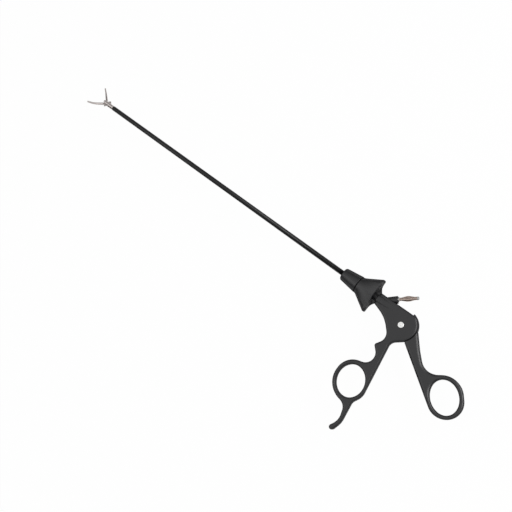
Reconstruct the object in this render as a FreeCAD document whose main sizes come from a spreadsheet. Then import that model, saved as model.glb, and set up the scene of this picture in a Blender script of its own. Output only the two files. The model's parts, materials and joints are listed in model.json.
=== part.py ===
import FreeCAD, Part
import math
import os
import re
import Sketcher
from FreeCAD import Placement, Rotation, Vector

# Laparoscopic dissecting forceps with ring handles, lying on its side, in millimetres.
# The frame's X axis is the shaft's axis and points to the jaws, Y points from the shaft to the
# finger ring in the handle's flat plane, and Z is square to that plane. The origin is on the
# shaft's axis at the front face of the collar. The jaws are open and the rings are spread.

# Driving sizes: alias, value, and what it is
SIZES = [
    # Shaft
    ("shaft_length", 329.0, "visible length of the insulated shaft"),
    ("sheath_radius", 2.5, "outside radius of the insulation"),
    ("sheath_wall", 0.4, "wall of the insulation"),
    ("sheath_tail", 12.0, "length of the sheath held inside the collar"),
    ("tail_radius", 2.3, "outside radius of that length, squeezed by the collar"),
    ("tube_bore", 1.35, "inside radius of the steel tube"),
    ("seat_gap", 0.03, "radial clearance of pieces that are fixed to each other"),
    ("run_gap", 0.05, "radial clearance of pins, bushes and bearings"),
    ("play", 0.3, "clearance of other moving faces"),
    # Collar and rotation knob
    ("collar_length", 18.0, "length of the front collar"),
    ("collar_nose", 6.1, "radius of the collar at its front"),
    ("collar_tail", 8.0, "radius of the collar at its back"),
    ("collar_round", 1.9, "rounding of the collar's front edge"),
    ("edge_small", 0.4, "small edge rounding of turned pieces"),
    ("seam_width", 1.0, "width of the seam between collar and knob"),
    ("seal_ring", 7.0, "radius of the seal ring's circle"),
    ("knob_nose", 8.1, "radius of the knob at its front"),
    ("knob_length", 20.5, "length of the rotation knob"),
    ("crest_radius", 19.2, "radius over the knob's wing crests"),
    ("crest_round", 2.6, "rounding of the wing crests"),
    ("flare_round", 5.0, "hollow rounding where the wings begin to rise"),
    ("wings", 3, "number of wings"),
    ("scallop_radius", 21.2, "radius of the hollow between two wings"),
    ("valley_radius", 8.8, "distance of the hollow's bottom from the axis"),
    ("wing_round", 2.3, "radius of a wing's rounded top"),
    ("flare_start", 0.8, "length of the straight front before the wings rise"),
    ("crest_back", 0.4, "width of the flat rim behind the crest"),
    ("back_dish", 4.6, "depth of the knob's hollow back"),
    ("knob_roll_angle", 25.0, "turn of the knob about the shaft"),
    # Bearing sleeve of the rotating shaft
    ("sleeve_radius", 3.4, "outside radius of the bearing sleeve"),
    ("sleeve_back", 60.3, "distance of the sleeve's end behind the origin"),
    ("clip_place", 47.0, "distance of the retaining clip behind the origin"),
    ("clip_thick", 0.8, "thickness of the retaining clip"),
    ("clip_radius", 4.3, "outside radius of the retaining clip"),
    ("clip_groove", 2.9, "radius of the groove's bottom"),
    ("clip_mouth", 2.6, "half width of the clip's mouth"),
    # Clevis and jaws
    ("pivot_reach", 13.2, "distance of the jaw pivot in front of the insulation"),
    ("clevis_radius", 2.3, "outside radius of the clevis"),
    ("clevis_spigot", 12.0, "length of the clevis inside the sheath"),
    ("slot_half", 1.3, "half width of the clevis slot"),
    ("fork_end", 2.2, "radius of the clevis arms' ends round the pivot"),
    ("pivot_pin", 0.6, "radius of the jaw pivot pin"),
    ("link_pin", 0.45, "radius of the linkage pins"),
    ("jaw_roll_angle", 24.0, "turn of the jaws about the shaft"),
    ("jaw_opening", 38.0, "angle by which each jaw opens"),
    ("jaw_length", 21.0, "length of a jaw from its pivot"),
    ("jaw_gap", 0.1, "distance of a bite face from the closed jaws' middle"),
    ("jaw_base", 2.1, "depth of a jaw at its root"),
    ("jaw_tip", 0.55, "radius of a jaw's tip"),
    ("blade_start", 2.6, "distance of the blade's root from the pivot"),
    ("blade_half", 2.0, "half width of a jaw at its root"),
    ("blade_bend", 1.75, "sideways bend of the jaws at the tip"),
    ("flat_ratio", 0.36, "share of the blade whose outer side is straight"),
    ("waist_ratio", 0.48, "share of the blade between its root and the inner side's lowest place"),
    ("blade_waist", 0.35, "distance of that place from the middle"),
    ("bend_ratio", 0.98, "radius of each bend as a share of the one that just meets the tip"),
    ("tip_half", 0.7, "half width of a jaw at its tip"),
    ("jaw_envelope", 2.42, "radius round the shaft's axis that the closed jaws stay in"),
    ("teeth", 17, "number of grooves across a bite face"),
    ("tooth_pitch", 0.88, "distance from groove to groove"),
    ("tooth_depth", 0.28, "depth of a groove"),
    ("tooth_start", 4.6, "distance of the first groove from the pivot"),
    ("boss_radius", 1.9, "radius of a jaw's pivot boss"),
    ("boss_face", 1.25, "distance of a boss's outer face from the jaws' middle plane"),
    ("tang_face", 0.78, "distance of a tang's outer face from the jaws' middle plane"),
    ("tang_length", 5.0, "distance from the jaw pivot to the tang pin"),
    ("tang_angle", 16.0, "angle of a tang to the shaft with the jaws closed"),
    ("tang_end", 0.95, "radius of a tang's end"),
    ("link_length", 5.6, "distance between the pins of a link"),
    ("link_end", 0.8, "radius of a link's front end"),
    ("link_eye", 1.35, "radius of a link's rear eye"),
    ("link_drift", 0.18, "half of the rear pin's drift in its eye over the travel"),
    ("drift_ratio", 0.6, "share of that drift across the link"),
    # Push rod
    ("rod_radius", 1.0, "radius of the push rod"),
    ("rod_eye", 1.1, "radius of the rod's front eye"),
    ("rod_eye_half", 0.75, "half thickness of the rod's front eye"),
    ("ball_radius", 1.9, "radius of the ball at the rod's rear"),
    # Handle
    ("handle_thick", 9.0, "thickness of the handle"),
    ("handle_round", 1.6, "rounding of the handle's outer edges"),
    ("ring_round", 1.1, "rounding of the rings' inner edges"),
    ("lever_x", -72.2, "place of the handle pivot along the shaft"),
    ("lever_y", 7.4, "place of the handle pivot across the shaft"),
    ("tongue_radius", 15.6, "radius of the lever's tongue round the pivot"),
    ("relief_depth", 0.8, "depth of the lever's hollow that clears the shoulder of the cheeks"),
    ("relief_radius", 4.0, "radius of that hollow"),
    ("hub_radius", 10.0, "radius of the lever's hub"),
    ("tongue_thick", 4.4, "thickness of the lever's tongue"),
    ("tongue_low_angle", 138.0, "angle of the tongue's lower side, from the front"),
    ("tongue_high_angle", 256.0, "angle of the tongue's upper end, from the front"),
    ("slot_low_angle", 31.0, "angle that the slot leaves below the tongue for its swing"),
    ("slot_high_angle", 2.0, "angle that the slot leaves above the tongue"),
    ("rod_swing", 30.0, "angle that the fork leaves for the rod"),
    ("fork_ratio", 0.04, "play above the ball as a share of its distance from the pivot"),
    ("finger_hole_x", -65.6, "centre of the finger hole along the shaft"),
    ("finger_hole_y", 74.8, "centre of the finger hole across the shaft"),
    ("finger_hole_long", 30.2, "long opening of the finger hole"),
    ("finger_hole_wide", 26.6, "short opening of the finger hole"),
    ("finger_hole_tilt", 107.0, "direction of the finger hole's long opening"),
    ("thumb_hole_x", -138.7, "centre of the thumb hole along the shaft"),
    ("thumb_hole_y", 36.0, "centre of the thumb hole across the shaft"),
    ("thumb_hole_long", 30.8, "long opening of the thumb hole"),
    ("thumb_hole_wide", 24.6, "short opening of the thumb hole"),
    ("thumb_hole_tilt", 138.0, "direction of the thumb hole's long opening"),
    ("neck_gap", 0.6, "gap between the knob's back and the handle's neck"),
    ("neck_front_x", "=-collar_length - seam_width - knob_length - neck_gap",
     "front face of the handle's neck"),
    ("neck_front_y", 0.0, "middle of the neck's front face"),
    ("neck_radius", 5.6, "radius of the round neck"),
    ("neck_length", 11.0, "length of the round neck"),
    ("rivet_radius", 2.0, "radius of the handle pivot's shank"),
    ("rivet_head", 2.85, "radius of the handle pivot's heads"),
    ("rivet_rise", 0.7, "height of the handle pivot's heads"),
    ("bush_radius", 3.2, "outside radius of the lever's bush"),
    # Connector boss and plug
    ("plug_x", -55.5, "centre of the boss's end face along the shaft"),
    ("plug_y", -9.9, "centre of the boss's end face across the shaft"),
    ("plug_tilt", 219.2, "direction of the plug"),
    ("boss_end_radius", 3.0, "radius of the connector boss"),
    ("boss_depth", 10.0, "length of the boss down into the handle"),
    ("plug_core", 1.0, "radius of the plug's core"),
    ("plug_root", 6.0, "length of the core down in the boss"),
    ("collar_flat", 1.9, "radius of the plug's base collar"),
    ("collar_high", 1.3, "height of the plug's base collar"),
    ("cage_start", 1.5, "start of the contact cage above the boss"),
    ("cage_length", 15.6, "length of the contact cage"),
    ("cage_ring", 1.6, "radius of the cage's end rings"),
    ("cage_radius", 2.0, "radius of the cage's contact strips"),
    ("cage_wall", 0.22, "thickness of the contact strips"),
    ("cage_strips", 6, "number of contact strips"),
    ("cage_rim", 0.7, "length of the cage's end rings"),
    ("cage_split", 0.45, "width of the slits between the strips"),
    ("plug_nose", 1.6, "radius of the plug's nose"),
    ("plug_length", 19.2, "length of the plug above the boss"),
]

# Outline of the finger handle: discs that it bends round, with the place that each is measured
# from, its centre, its radius, and 1 where the outline bulges or -1 where it is hollow
FINGER_OUTLINE = [
    ("neck_top", "neck_front", -1.8, -4.1, 1.7, 1),
    ("neck_low", "neck_front", -1.8, 4.3, 1.7, 1),
    ("belly", None, -39.0, 38.2, 31.5, -1),
    ("throat", None, -58.3, 25.8, 9.0, -1),
    ("spur", None, -65.9, 35.0, 2.3, 1),
    ("finger_rest", None, -61.1, 46.1, 9.1, -1),
    ("ring_front", "finger_hole", -0.7, -2.8, 17.2, 1),
    ("ring_low", "finger_hole", -3.9, -1.2, 20.4, 1),
    ("hook_root", None, -67.0, 103.0, 9.0, -1),
    ("hook_hollow", None, -63.4, 108.0, 14.0, -1),
    ("hook_tip", None, -76.9, 117.8, 2.4, 1),
    ("hook_back", None, -60.5, 109.0, 20.5, 1),
    ("hook_dip", None, -86.0, 90.5, 7.5, -1),
    ("ring_back", "finger_hole", -1.6, 3.2, 14.9, 1),
    ("shoulder", None, -81.7, 28.5, 7.5, -1),
    ("cheek", "lever", 0.0, 0.0, 14.8, 1),
    ("top_back", "lever", -6.0, -10.6, 3.0, 1),
]

# Outline of the thumb lever in the same form
THUMB_OUTLINE = [
    ("wedge", "lever", -14.4, -2.4, 1.7, 1),
    ("lever_root", "lever", 0.0, 0.0, 2.7, 1),
    ("thumb_low", "thumb_hole", -2.6, 2.1, 15.6, 1),
    ("thumb_high", "thumb_hole", 2.1, 0.1, 17.9, 1),
    ("thumb_rest", None, -115.0, 12.1, 14.2, -1),
    ("lever_back", None, -146.3, -30.4, 66.5, -1),
]
for name, base, across, up, radius, turn in FINGER_OUTLINE + THUMB_OUTLINE:
    if (across, up) != (0.0, 0.0):
        SIZES.append((name + "_x", across, "centre of the outline's disc along the shaft"))
        SIZES.append((name + "_y", up, "centre of the outline's disc across the shaft"))
    SIZES.append((name + "_radius", radius, "radius of the outline's disc"))

# Distance within which two places count as the same
NEAR = 0.01

doc = FreeCAD.newDocument("forceps")
sheet = doc.addObject("Spreadsheet::Sheet", "Sizes")
for row, (alias, value, meaning) in enumerate(SIZES, start=1):
    sheet.set(f"A{row}", alias)
    sheet.set(f"B{row}", str(value))
    sheet.set(f"C{row}", meaning)
    sheet.setAlias(f"B{row}", alias)
doc.recompute()
ALIASES = {alias for alias, value, meaning in SIZES}


def size(formula):
    """Value of a formula of the driving sizes."""
    return float(sheet.evalExpression(str(formula)))


def bound(formula):
    """The same formula as other objects of the document read it."""
    return re.sub(r"[a-z_]+", lambda word: "Sizes." + word.group()
                  if word.group() in ALIASES else word.group(), str(formula))


def bind(thing, name, formula):
    """Set a property and tie it to the driving sizes."""
    thing.setExpression(name, bound(formula))


def body(node):
    """A piece made by sketches and features."""
    piece = doc.addObject("PartDesign::Body", node)
    piece.Label = node
    return piece


def sketch(piece, name, plane="XY_Plane"):
    """An empty sketch on one of the piece's own planes."""
    drawing = piece.newObject("Sketcher::SketchObject", name)
    base = [item for item in piece.Origin.OriginFeatures if item.Role == plane][0]
    drawing.AttachmentSupport = [(base, "")]
    drawing.MapMode = "FlatFace"
    return drawing


def hold(drawing, kind, where, formula):
    """Add a constraint whose value is tied to the driving sizes."""
    index = drawing.addConstraint(Sketcher.Constraint(kind, *where, size(formula)))
    bind(drawing, f"Constraints[{index}]", formula)


def hold_point(drawing, line, end, across, up):
    """Place a point of a sketch from the origin; a zero puts it on the axis."""
    for kind, axis, formula in (("DistanceX", -2, across), ("DistanceY", -1, up)):
        if formula == "0":
            drawing.addConstraint(Sketcher.Constraint("PointOnObject", line, end, axis))
        else:
            hold(drawing, kind, (-1, 1, line, end), formula)


def polygon(drawing, corners):
    """Closed outline of straight lines through the given corners."""
    points = [Vector(size(across), size(up), 0) for across, up in corners]
    start = drawing.GeometryCount
    count = len(points)
    for index in range(count):
        drawing.addGeometry(Part.LineSegment(points[index], points[(index + 1) % count]))
    for index, (across, up) in enumerate(corners):
        before = start + (index - 1) % count
        drawing.addConstraint(Sketcher.Constraint("Coincident", before, 2, start + index, 1))
        hold_point(drawing, start + index, 1, across, up)


def circle(drawing, across, up, radius):
    """A circle."""
    centre = Vector(size(across), size(up), 0)
    index = drawing.addGeometry(Part.Circle(centre, Vector(0, 0, 1), size(radius)))
    hold(drawing, "Radius", (index,), radius)
    if (across, up) == ("0", "0"):
        drawing.addConstraint(Sketcher.Constraint("Coincident", index, 3, -1, 1))
    else:
        hold_point(drawing, index, 3, across, up)


def ellipse(drawing, across, up, long, wide, tilt):
    """An ellipse with its long axis at an angle to the horizontal."""
    centre = Vector(size(across), size(up), 0)
    angle = math.radians(size(tilt))
    major = Vector(math.cos(angle), math.sin(angle), 0) * (size(long) / 2)
    minor = Vector(-math.sin(angle), math.cos(angle), 0) * (size(wide) / 2)
    drawing.addGeometry(Part.Ellipse(centre + major, centre + minor, centre))
    drawing.exposeInternalGeometry(0)
    hold(drawing, "Distance", (1,), long)
    hold(drawing, "Distance", (2,), wide)
    hold_point(drawing, 0, 3, across, up)
    line = drawing.Geometry[1]
    along = line.EndPoint - line.StartPoint
    half_turn = 0 if along.dot(major) > 0 else 180
    angle = math.radians(size(tilt) - half_turn)
    index = drawing.addConstraint(Sketcher.Constraint("Angle", 1, angle))
    bind(drawing, f"Constraints[{index}]", f"({tilt} - {half_turn}) * 1 deg")


def belt(drawing, discs):
    """Closed outline pulled round discs, each across, up, radius and turn.

    The outline runs anticlockwise. The turn is 1 where it bulges round the disc and -1 where
    it is hollow. Between two discs it is straight and tangent to both.
    """
    spots = [(Vector(size(across), size(up), 0), size(radius), turn)
             for across, up, radius, turn in discs]
    start = drawing.GeometryCount
    count = len(spots)
    leave, reach = [], []
    for index, (centre, radius, turn) in enumerate(spots):
        following, next_radius, next_turn = spots[(index + 1) % count]
        step = following - centre
        lean = math.acos((turn * radius - next_turn * next_radius) / step.Length)
        angle = math.atan2(step.y, step.x) - lean
        side = Vector(math.cos(angle), math.sin(angle), 0)
        leave.append(centre + side * (turn * radius))
        reach.append(following + side * (next_turn * next_radius))
    for index, (centre, radius, turn) in enumerate(spots):
        first, last = reach[index - 1] - centre, leave[index] - centre
        if turn < 0:
            first, last = last, first
        arc = Part.ArcOfCircle(Part.Circle(centre, Vector(0, 0, 1), radius),
                               math.atan2(first.y, first.x), math.atan2(last.y, last.x))
        drawing.addGeometry(arc)
    for index in range(count):
        drawing.addGeometry(Part.LineSegment(leave[index], reach[index]))
    for index, (across, up, radius, turn) in enumerate(discs):
        arc, line = start + index, start + count + index
        following = (index + 1) % count
        exit_end = 2 if turn > 0 else 1
        entry_end = 1 if spots[following][2] > 0 else 2
        drawing.addConstraint(Sketcher.Constraint("Tangent", line, 1, arc, exit_end))
        drawing.addConstraint(Sketcher.Constraint("Tangent", line, 2, start + following, entry_end))
        hold(drawing, "Radius", (arc,), radius)
        hold_point(drawing, arc, 3, across, up)


def outline(rows):
    """Discs of a listed outline as formulas."""
    discs = []
    for name, base, across, up, radius, turn in rows:
        place = [f"{name}_x", f"{name}_y"]
        if base:
            here = (across, up) == (0.0, 0.0)
            place = [f"{base}{axis}" + ("" if here else f" + {name}{axis}") for axis in ("_x", "_y")]
        discs.append((*place, f"{name}_radius", turn))
    return discs


def flipped(discs):
    """The same outline mirrored in the horizontal axis."""
    return [(across, f"-({up})", radius, turn) for across, up, radius, turn in reversed(discs)]


def feature(piece, kind, name, drawing):
    """A feature that reads a sketch."""
    made = piece.newObject("PartDesign::" + kind, name)
    made.Profile = drawing
    drawing.Visibility = False
    return made


def pad(piece, drawing, length, both_ways=True, backwards=False):
    """Give a sketch thickness, centred on its plane or to one side."""
    made = feature(piece, "Pad", drawing.Name + "_pad", drawing)
    made.SideType = "Symmetric" if both_ways else "One side"
    made.Reversed = backwards
    made.Length = size(length)
    bind(made, "Length", length)
    return made


def pocket(piece, drawing, length, both_ways=True, backwards=False):
    """Cut a sketch out of the piece and make sure that it cuts."""
    doc.recompute()
    before = piece.Shape.Volume
    made = feature(piece, "Pocket", drawing.Name + "_cut", drawing)
    made.SideType = "Symmetric" if both_ways else "One side"
    made.Reversed = backwards
    made.Length = size(length)
    bind(made, "Length", length)
    doc.recompute()
    assert piece.Shape.Volume < before, drawing.Name + " cuts nothing"
    return made


def revolve(piece, drawing, axis="H_Axis"):
    """Turn a sketch round one of its axes."""
    made = feature(piece, "Revolution", drawing.Name + "_turned", drawing)
    made.ReferenceAxis = (drawing, [axis])
    made.Angle = 360
    return made


def groove(piece, drawing, axis="H_Axis"):
    """Cut a sketch out of the piece round one of its axes."""
    doc.recompute()
    before = piece.Shape.Volume
    made = feature(piece, "Groove", drawing.Name + "_groove", drawing)
    made.ReferenceAxis = (drawing, [axis])
    made.Angle = 360
    doc.recompute()
    assert piece.Shape.Volume < before, drawing.Name + " cuts nothing"
    return made


def around(piece, cut, count):
    """Repeat a cut about the piece's X axis."""
    pattern = piece.newObject("PartDesign::PolarPattern", cut.Name + "_round")
    pattern.Originals = [cut]
    axis = [item for item in piece.Origin.OriginFeatures if item.Role == "X_Axis"][0]
    pattern.Axis = (axis, [""])
    pattern.Angle = 360
    pattern.Occurrences = int(size(count))
    bind(pattern, "Occurrences", count)
    piece.Tip = pattern
    return pattern


def fillet(piece, radius, chosen):
    """Round the edges that a test chooses."""
    doc.recompute()
    base = piece.Tip
    edges = enumerate(base.Shape.Edges, start=1)
    names = [f"Edge{number}" for number, edge in edges if chosen(edge)]
    made = piece.newObject("PartDesign::Fillet", base.Name + "_rounded")
    made.Base = (base, names)
    made.Radius = size(radius)
    bind(made, "Radius", radius)
    return made


def middle(edge):
    """Point half-way along an edge."""
    return edge.valueAt((edge.FirstParameter + edge.LastParameter) / 2)


def turned_ring(node, back, front, inner, outer):
    """A plain ring or tube about the shaft's axis."""
    piece = body(node)
    drawing = sketch(piece, node + "_section")
    polygon(drawing, [(back, inner), (front, inner), (front, outer), (back, outer)])
    revolve(piece, drawing)
    return piece


def cylinder(node, radius, length):
    """A round pin along its own Z axis, centred on its middle by its placement."""
    pin = doc.addObject("Part::Cylinder", node)
    pin.Label = node
    pin.Radius = size(radius)
    bind(pin, "Radius", radius)
    pin.Height = size(length)
    bind(pin, "Height", length)
    return pin


# Places that follow from the driving sizes
TUBE_OUTER = "(sheath_radius - sheath_wall - seat_gap)"
SLEEVE_BORE = f"({TUBE_OUTER} + seat_gap)"
KNOB_FRONT = "(-collar_length - seam_width)"
KNOB_BACK = f"({KNOB_FRONT} - knob_length)"
JAW_PIVOT = "(shaft_length + pivot_reach)"
TANG_OPEN = "(tang_angle + jaw_opening)"


def rod_pin_distance(angle):
    """Formula of the rod pin's distance behind the jaw pivot for an angle of the tangs."""
    return (f"(tang_length * cos({angle})"
            f" + sqrt(link_length ^ 2 - (tang_length * sin({angle})) ^ 2))")


PIN_OPEN = rod_pin_distance(TANG_OPEN)
PIN_CLOSED = rod_pin_distance("tang_angle")
STROKE = f"({PIN_CLOSED} - {PIN_OPEN})"
ROD_FRONT = f"({JAW_PIVOT} - {PIN_OPEN})"
BALL_PLACE = f"(lever_x + {STROKE} / 2)"
ROLL = Rotation(Vector(1, 0, 0), size("jaw_roll_angle"))


# Front collar: a turned cone with a rounded nose, fixed on the sheath
collar = body("front_collar")
drawing = sketch(collar, "collar_section")
collar_bore = "(tail_radius + seat_gap)"
belt(drawing, [
    ("-collar_length + edge_small", f"{collar_bore} + edge_small", "edge_small", 1),
    ("-edge_small", f"{collar_bore} + edge_small", "edge_small", 1),
    ("-collar_round", "collar_nose - collar_round", "collar_round", 1),
    ("-collar_length + edge_small", "collar_tail - edge_small", "edge_small", 1),
])
revolve(collar, drawing)
drawing = sketch(collar, "collar_tube_seat")
polygon(drawing, [
    ("-collar_length - play", f"{TUBE_OUTER} + seat_gap"),
    ("-sheath_tail", f"{TUBE_OUTER} + seat_gap"),
    ("-sheath_tail", f"{collar_bore} + 2 * play"),
    ("-collar_length - play", f"{collar_bore} + 2 * play"),
])
revolve(collar, drawing)

# Seal ring in the seam between collar and knob
seal = doc.addObject("Part::Torus", "collar_seal_ring")
seal.Label = "collar_seal_ring"
for name, formula in (("Radius1", "seal_ring"), ("Radius2", "seam_width / 2 - seat_gap")):
    setattr(seal, name, size(formula))
    bind(seal, name, formula)
seal.Placement = Placement(Vector(size("-collar_length - seam_width / 2"), 0, 0),
                           Rotation(Vector(0, 1, 0), 90))

# Rotation knob: round wings with hollows between them, turned to a flare in front and a round
# crest at the back
knob = body("rotation_knob")
knob_bore = "(sleeve_radius + seat_gap)"
drawing = sketch(knob, "knob_wings", "YZ_Plane")
discs = []
for wing in range(int(size("wings"))):
    for place, reach, radius, turn in (
            (wing, "(crest_radius + play - wing_round)", "wing_round", 1),
            (wing + 0.5, "(valley_radius + scallop_radius)", "scallop_radius", -1)):
        angle = f"({place} * 360 / wings)"
        discs.append((f"{reach} * cos({angle})", f"{reach} * sin({angle})", radius, turn))
belt(drawing, discs)
drawing.AttachmentOffset = Placement(Vector(0, 0, size(KNOB_FRONT)), Rotation())
bind(drawing, "AttachmentOffset.Base.z", KNOB_FRONT)
pad(knob, drawing, "knob_length", both_ways=False, backwards=True)
drawing = sketch(knob, "knob_flare")
clear = "(crest_radius + 2 * crest_round)"
belt(drawing, [
    (f"{KNOB_FRONT} + crest_round", clear, "edge_small", 1),
    (f"{KNOB_BACK} - crest_round", clear, "edge_small", 1),
    (f"{KNOB_BACK} - crest_round", "sleeve_radius", "edge_small", 1),
    (f"{KNOB_BACK} + back_dish", "sleeve_radius", "edge_small", 1),
    (f"{KNOB_BACK} + crest_round + crest_back", "crest_radius - crest_round", "crest_round", -1),
    (f"{KNOB_FRONT} - flare_start", "knob_nose + flare_round", "flare_round", 1),
    (f"{KNOB_FRONT} + crest_round", "knob_nose + edge_small", "edge_small", 1),
])
groove(knob, drawing)
drawing = sketch(knob, "knob_bore", "YZ_Plane")
circle(drawing, "0", "0", knob_bore)
pocket(knob, drawing, "4 * knob_length")
knob.Placement = Placement(Vector(), Rotation(Vector(1, 0, 0), size("knob_roll_angle")))

# Bearing sleeve in the knob and the handle's neck, with a groove for its retaining clip
sleeve = body("bearing_sleeve")
drawing = sketch(sleeve, "sleeve_section")
clip_rear = "(-clip_place - clip_thick / 2 - seat_gap)"
clip_front = "(-clip_place + clip_thick / 2 + seat_gap)"
polygon(drawing, [
    ("-sleeve_back", SLEEVE_BORE), (KNOB_FRONT, SLEEVE_BORE), (KNOB_FRONT, "sleeve_radius"),
    (clip_front, "sleeve_radius"), (clip_front, "clip_groove"), (clip_rear, "clip_groove"),
    (clip_rear, "sleeve_radius"), ("-sleeve_back", "sleeve_radius"),
])
revolve(sleeve, drawing)

# Retaining clip: a spring ring with a mouth
clip = turned_ring("retaining_clip", "-clip_place - clip_thick / 2", "-clip_place + clip_thick / 2",
                   "clip_groove + seat_gap", "clip_radius")
drawing = sketch(clip, "clip_opening", "YZ_Plane")
polygon(drawing, [("-clip_mouth", "-clip_radius - play"), ("clip_mouth", "-clip_radius - play"),
                  ("clip_mouth", "-clip_mouth / 2"), ("-clip_mouth", "-clip_mouth / 2")])
pocket(clip, drawing, "3 * clip_place")

# Insulated shaft: sheath with its tail squeezed into the collar, and steel tube
sheath = body("insulation_sheath")
drawing = sketch(sheath, "sheath_section")
polygon(drawing, [
    ("-sheath_tail", "sheath_radius - sheath_wall"), ("shaft_length", "sheath_radius - sheath_wall"),
    ("shaft_length", "sheath_radius"), ("seat_gap", "sheath_radius"), ("seat_gap", "tail_radius"),
    ("-sheath_tail", "tail_radius"),
])
revolve(sheath, drawing)
turned_ring("inner_tube", "-sleeve_back", "shaft_length - clevis_spigot", "tube_bore", TUBE_OUTER)

# Clevis: a turned head with a slot between two arms that carry the jaw pivot
clevis = body("jaw_clevis")
drawing = sketch(clevis, "clevis_section")
polygon(drawing, [
    ("-pivot_reach - clevis_spigot", "tube_bore"), ("fork_end", "tube_bore"),
    ("fork_end", "clevis_radius"), ("-pivot_reach", "clevis_radius"),
    ("-pivot_reach", TUBE_OUTER), ("-pivot_reach - clevis_spigot", TUBE_OUTER),
])
revolve(clevis, drawing)
drawing = sketch(clevis, "clevis_slot", "XZ_Plane")
slot_bottom = f"(-{PIN_CLOSED} - link_eye - play)"
polygon(drawing, [(slot_bottom, "-slot_half"), ("fork_end + play", "-slot_half"),
                  ("fork_end + play", "slot_half"), (slot_bottom, "slot_half")])
pocket(clevis, drawing, "4 * clevis_radius")
drawing = sketch(clevis, "clevis_arm_ends")
belt(drawing, [
    ("2 * clevis_radius", "-1.5 * clevis_radius", "play", 1),
    ("2 * clevis_radius", "1.5 * clevis_radius", "play", 1),
    ("play", "1.5 * clevis_radius", "play", 1),
    ("0", "0", "fork_end", -1),
    ("play", "-1.5 * clevis_radius", "play", 1),
])
pocket(clevis, drawing, "4 * clevis_radius")
drawing = sketch(clevis, "clevis_pin_hole")
circle(drawing, "0", "0", "pivot_pin + seat_gap")
pocket(clevis, drawing, "4 * clevis_radius")
clevis.Placement = Placement(Vector(size(JAW_PIVOT), 0, 0), ROLL)
bind(clevis, "Placement.Base.x", JAW_PIVOT)

pin = cylinder("jaw_pivot_pin", "pivot_pin", "2 * sqrt(clevis_radius ^ 2 - pivot_pin ^ 2)")
pin.Placement = Placement(Vector(size(JAW_PIVOT), 0, 0), ROLL) \
    * Placement(Vector(0, 0, -pin.Height.Value / 2), Rotation())


def jaw(node, side):
    """A jaw in its own frame: pivot at the origin, X along the closed jaw, Z along the pin.

    The side is -1 for the jaw whose blade lies at negative Y and 1 for the other. Each has its
    tang on the far side of the pivot, so that the two cross like the blades of scissors.
    """
    piece = body(node)
    blade = [
        ("blade_start + edge_small", "-jaw_base + edge_small", "edge_small", 1),
        ("jaw_length - jaw_tip", "-jaw_gap - jaw_tip", "jaw_tip", 1),
        ("blade_start + edge_small", "-jaw_gap - edge_small", "edge_small", 1),
    ]
    root = [
        ("0", "0", "boss_radius", 1),
        ("blade_start + jaw_base / 10", "-jaw_base * 2 / 3", "jaw_base / 3", 1),
    ]
    tang = [
        ("0", "0", "boss_radius - edge_small", 1),
        ("-tang_length * cos(tang_angle)", "tang_length * sin(tang_angle)", "tang_end", 1),
    ]
    if side > 0:
        blade, root, tang = flipped(blade), flipped(root), flipped(tang)
    drawing = sketch(piece, node + "_side")
    belt(drawing, blade)
    pad(piece, drawing, "2 * (blade_half + tip_half + blade_bend)")
    drawing = sketch(piece, node + "_plan", "XZ_Plane")
    polygon(drawing, [("play", "-4 * blade_half"), ("jaw_length + play", "-4 * blade_half"),
                      ("jaw_length + play", "4 * blade_half"), ("play", "4 * blade_half")])
    belt(drawing, [
        ("blade_start + edge_small", "-blade_half + edge_small", "edge_small", 1),
        (BLADE_FLAT, f"{BEND_OUTSIDE} - blade_half", BEND_OUTSIDE, 1),
        ("jaw_length - tip_half", "blade_bend", "tip_half", 1),
        (BLADE_WAIST, f"{BEND_INSIDE} + blade_waist", BEND_INSIDE, -1),
        ("blade_start + edge_small", "blade_waist", "edge_small", 1),
    ])
    pocket(piece, drawing, "4 * jaw_base")
    drawing = sketch(piece, node + "_round_back")
    polygon(drawing, [("0", "jaw_envelope"), ("jaw_length + play", "jaw_envelope"),
                      ("jaw_length + play", "3 * jaw_envelope"), ("0", "3 * jaw_envelope")])
    groove(piece, drawing)
    drawing = sketch(piece, node + "_tooth")
    shift = "tooth_start" if side < 0 else "tooth_start + tooth_pitch / 2"
    polygon(drawing, [(f"{shift} - tooth_pitch / 3", "0"),
                      (shift, f"{side} * (jaw_gap + tooth_depth)"),
                      (f"{shift} + tooth_pitch / 3", "0")])
    tooth = pocket(piece, drawing, "8 * blade_half")
    row = piece.newObject("PartDesign::LinearPattern", node + "_teeth")
    row.Originals = [tooth]
    row.Direction = (drawing, ["H_Axis"])
    row.Length = size("tooth_pitch * (teeth - 1)")
    bind(row, "Length", "tooth_pitch * (teeth - 1)")
    row.Occurrences = int(size("teeth"))
    bind(row, "Occurrences", "teeth")
    piece.Tip = row
    for name, discs, face in (("root", root, "boss_face"), ("tang", tang, "tang_face")):
        drawing = sketch(piece, f"{node}_{name}")
        belt(drawing, discs)
        drawing.AttachmentOffset = Placement(Vector(0, 0, -side * size("run_gap")), Rotation())
        pad(piece, drawing, f"{face} - run_gap", both_ways=False, backwards=side > 0)
    drawing = sketch(piece, node + "_holes")
    circle(drawing, "0", "0", "pivot_pin + run_gap")
    circle(drawing, "-tang_length * cos(tang_angle)", f"{-side} * tang_length * sin(tang_angle)",
           "link_pin + seat_gap")
    pocket(piece, drawing, "8 * blade_half")
    piece.Placement = Placement(Vector(size(JAW_PIVOT), 0, 0),
                                ROLL * Rotation(Vector(0, 0, 1), side * size("jaw_opening")))
    bind(piece, "Placement.Base.x", JAW_PIVOT)


def open_tang(side):
    """Place of a tang pin in the clevis's frame with the jaws open."""
    angle = math.radians(size(TANG_OPEN))
    return Vector(-math.cos(angle), -side * math.sin(angle), 0) * size("tang_length")


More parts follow.
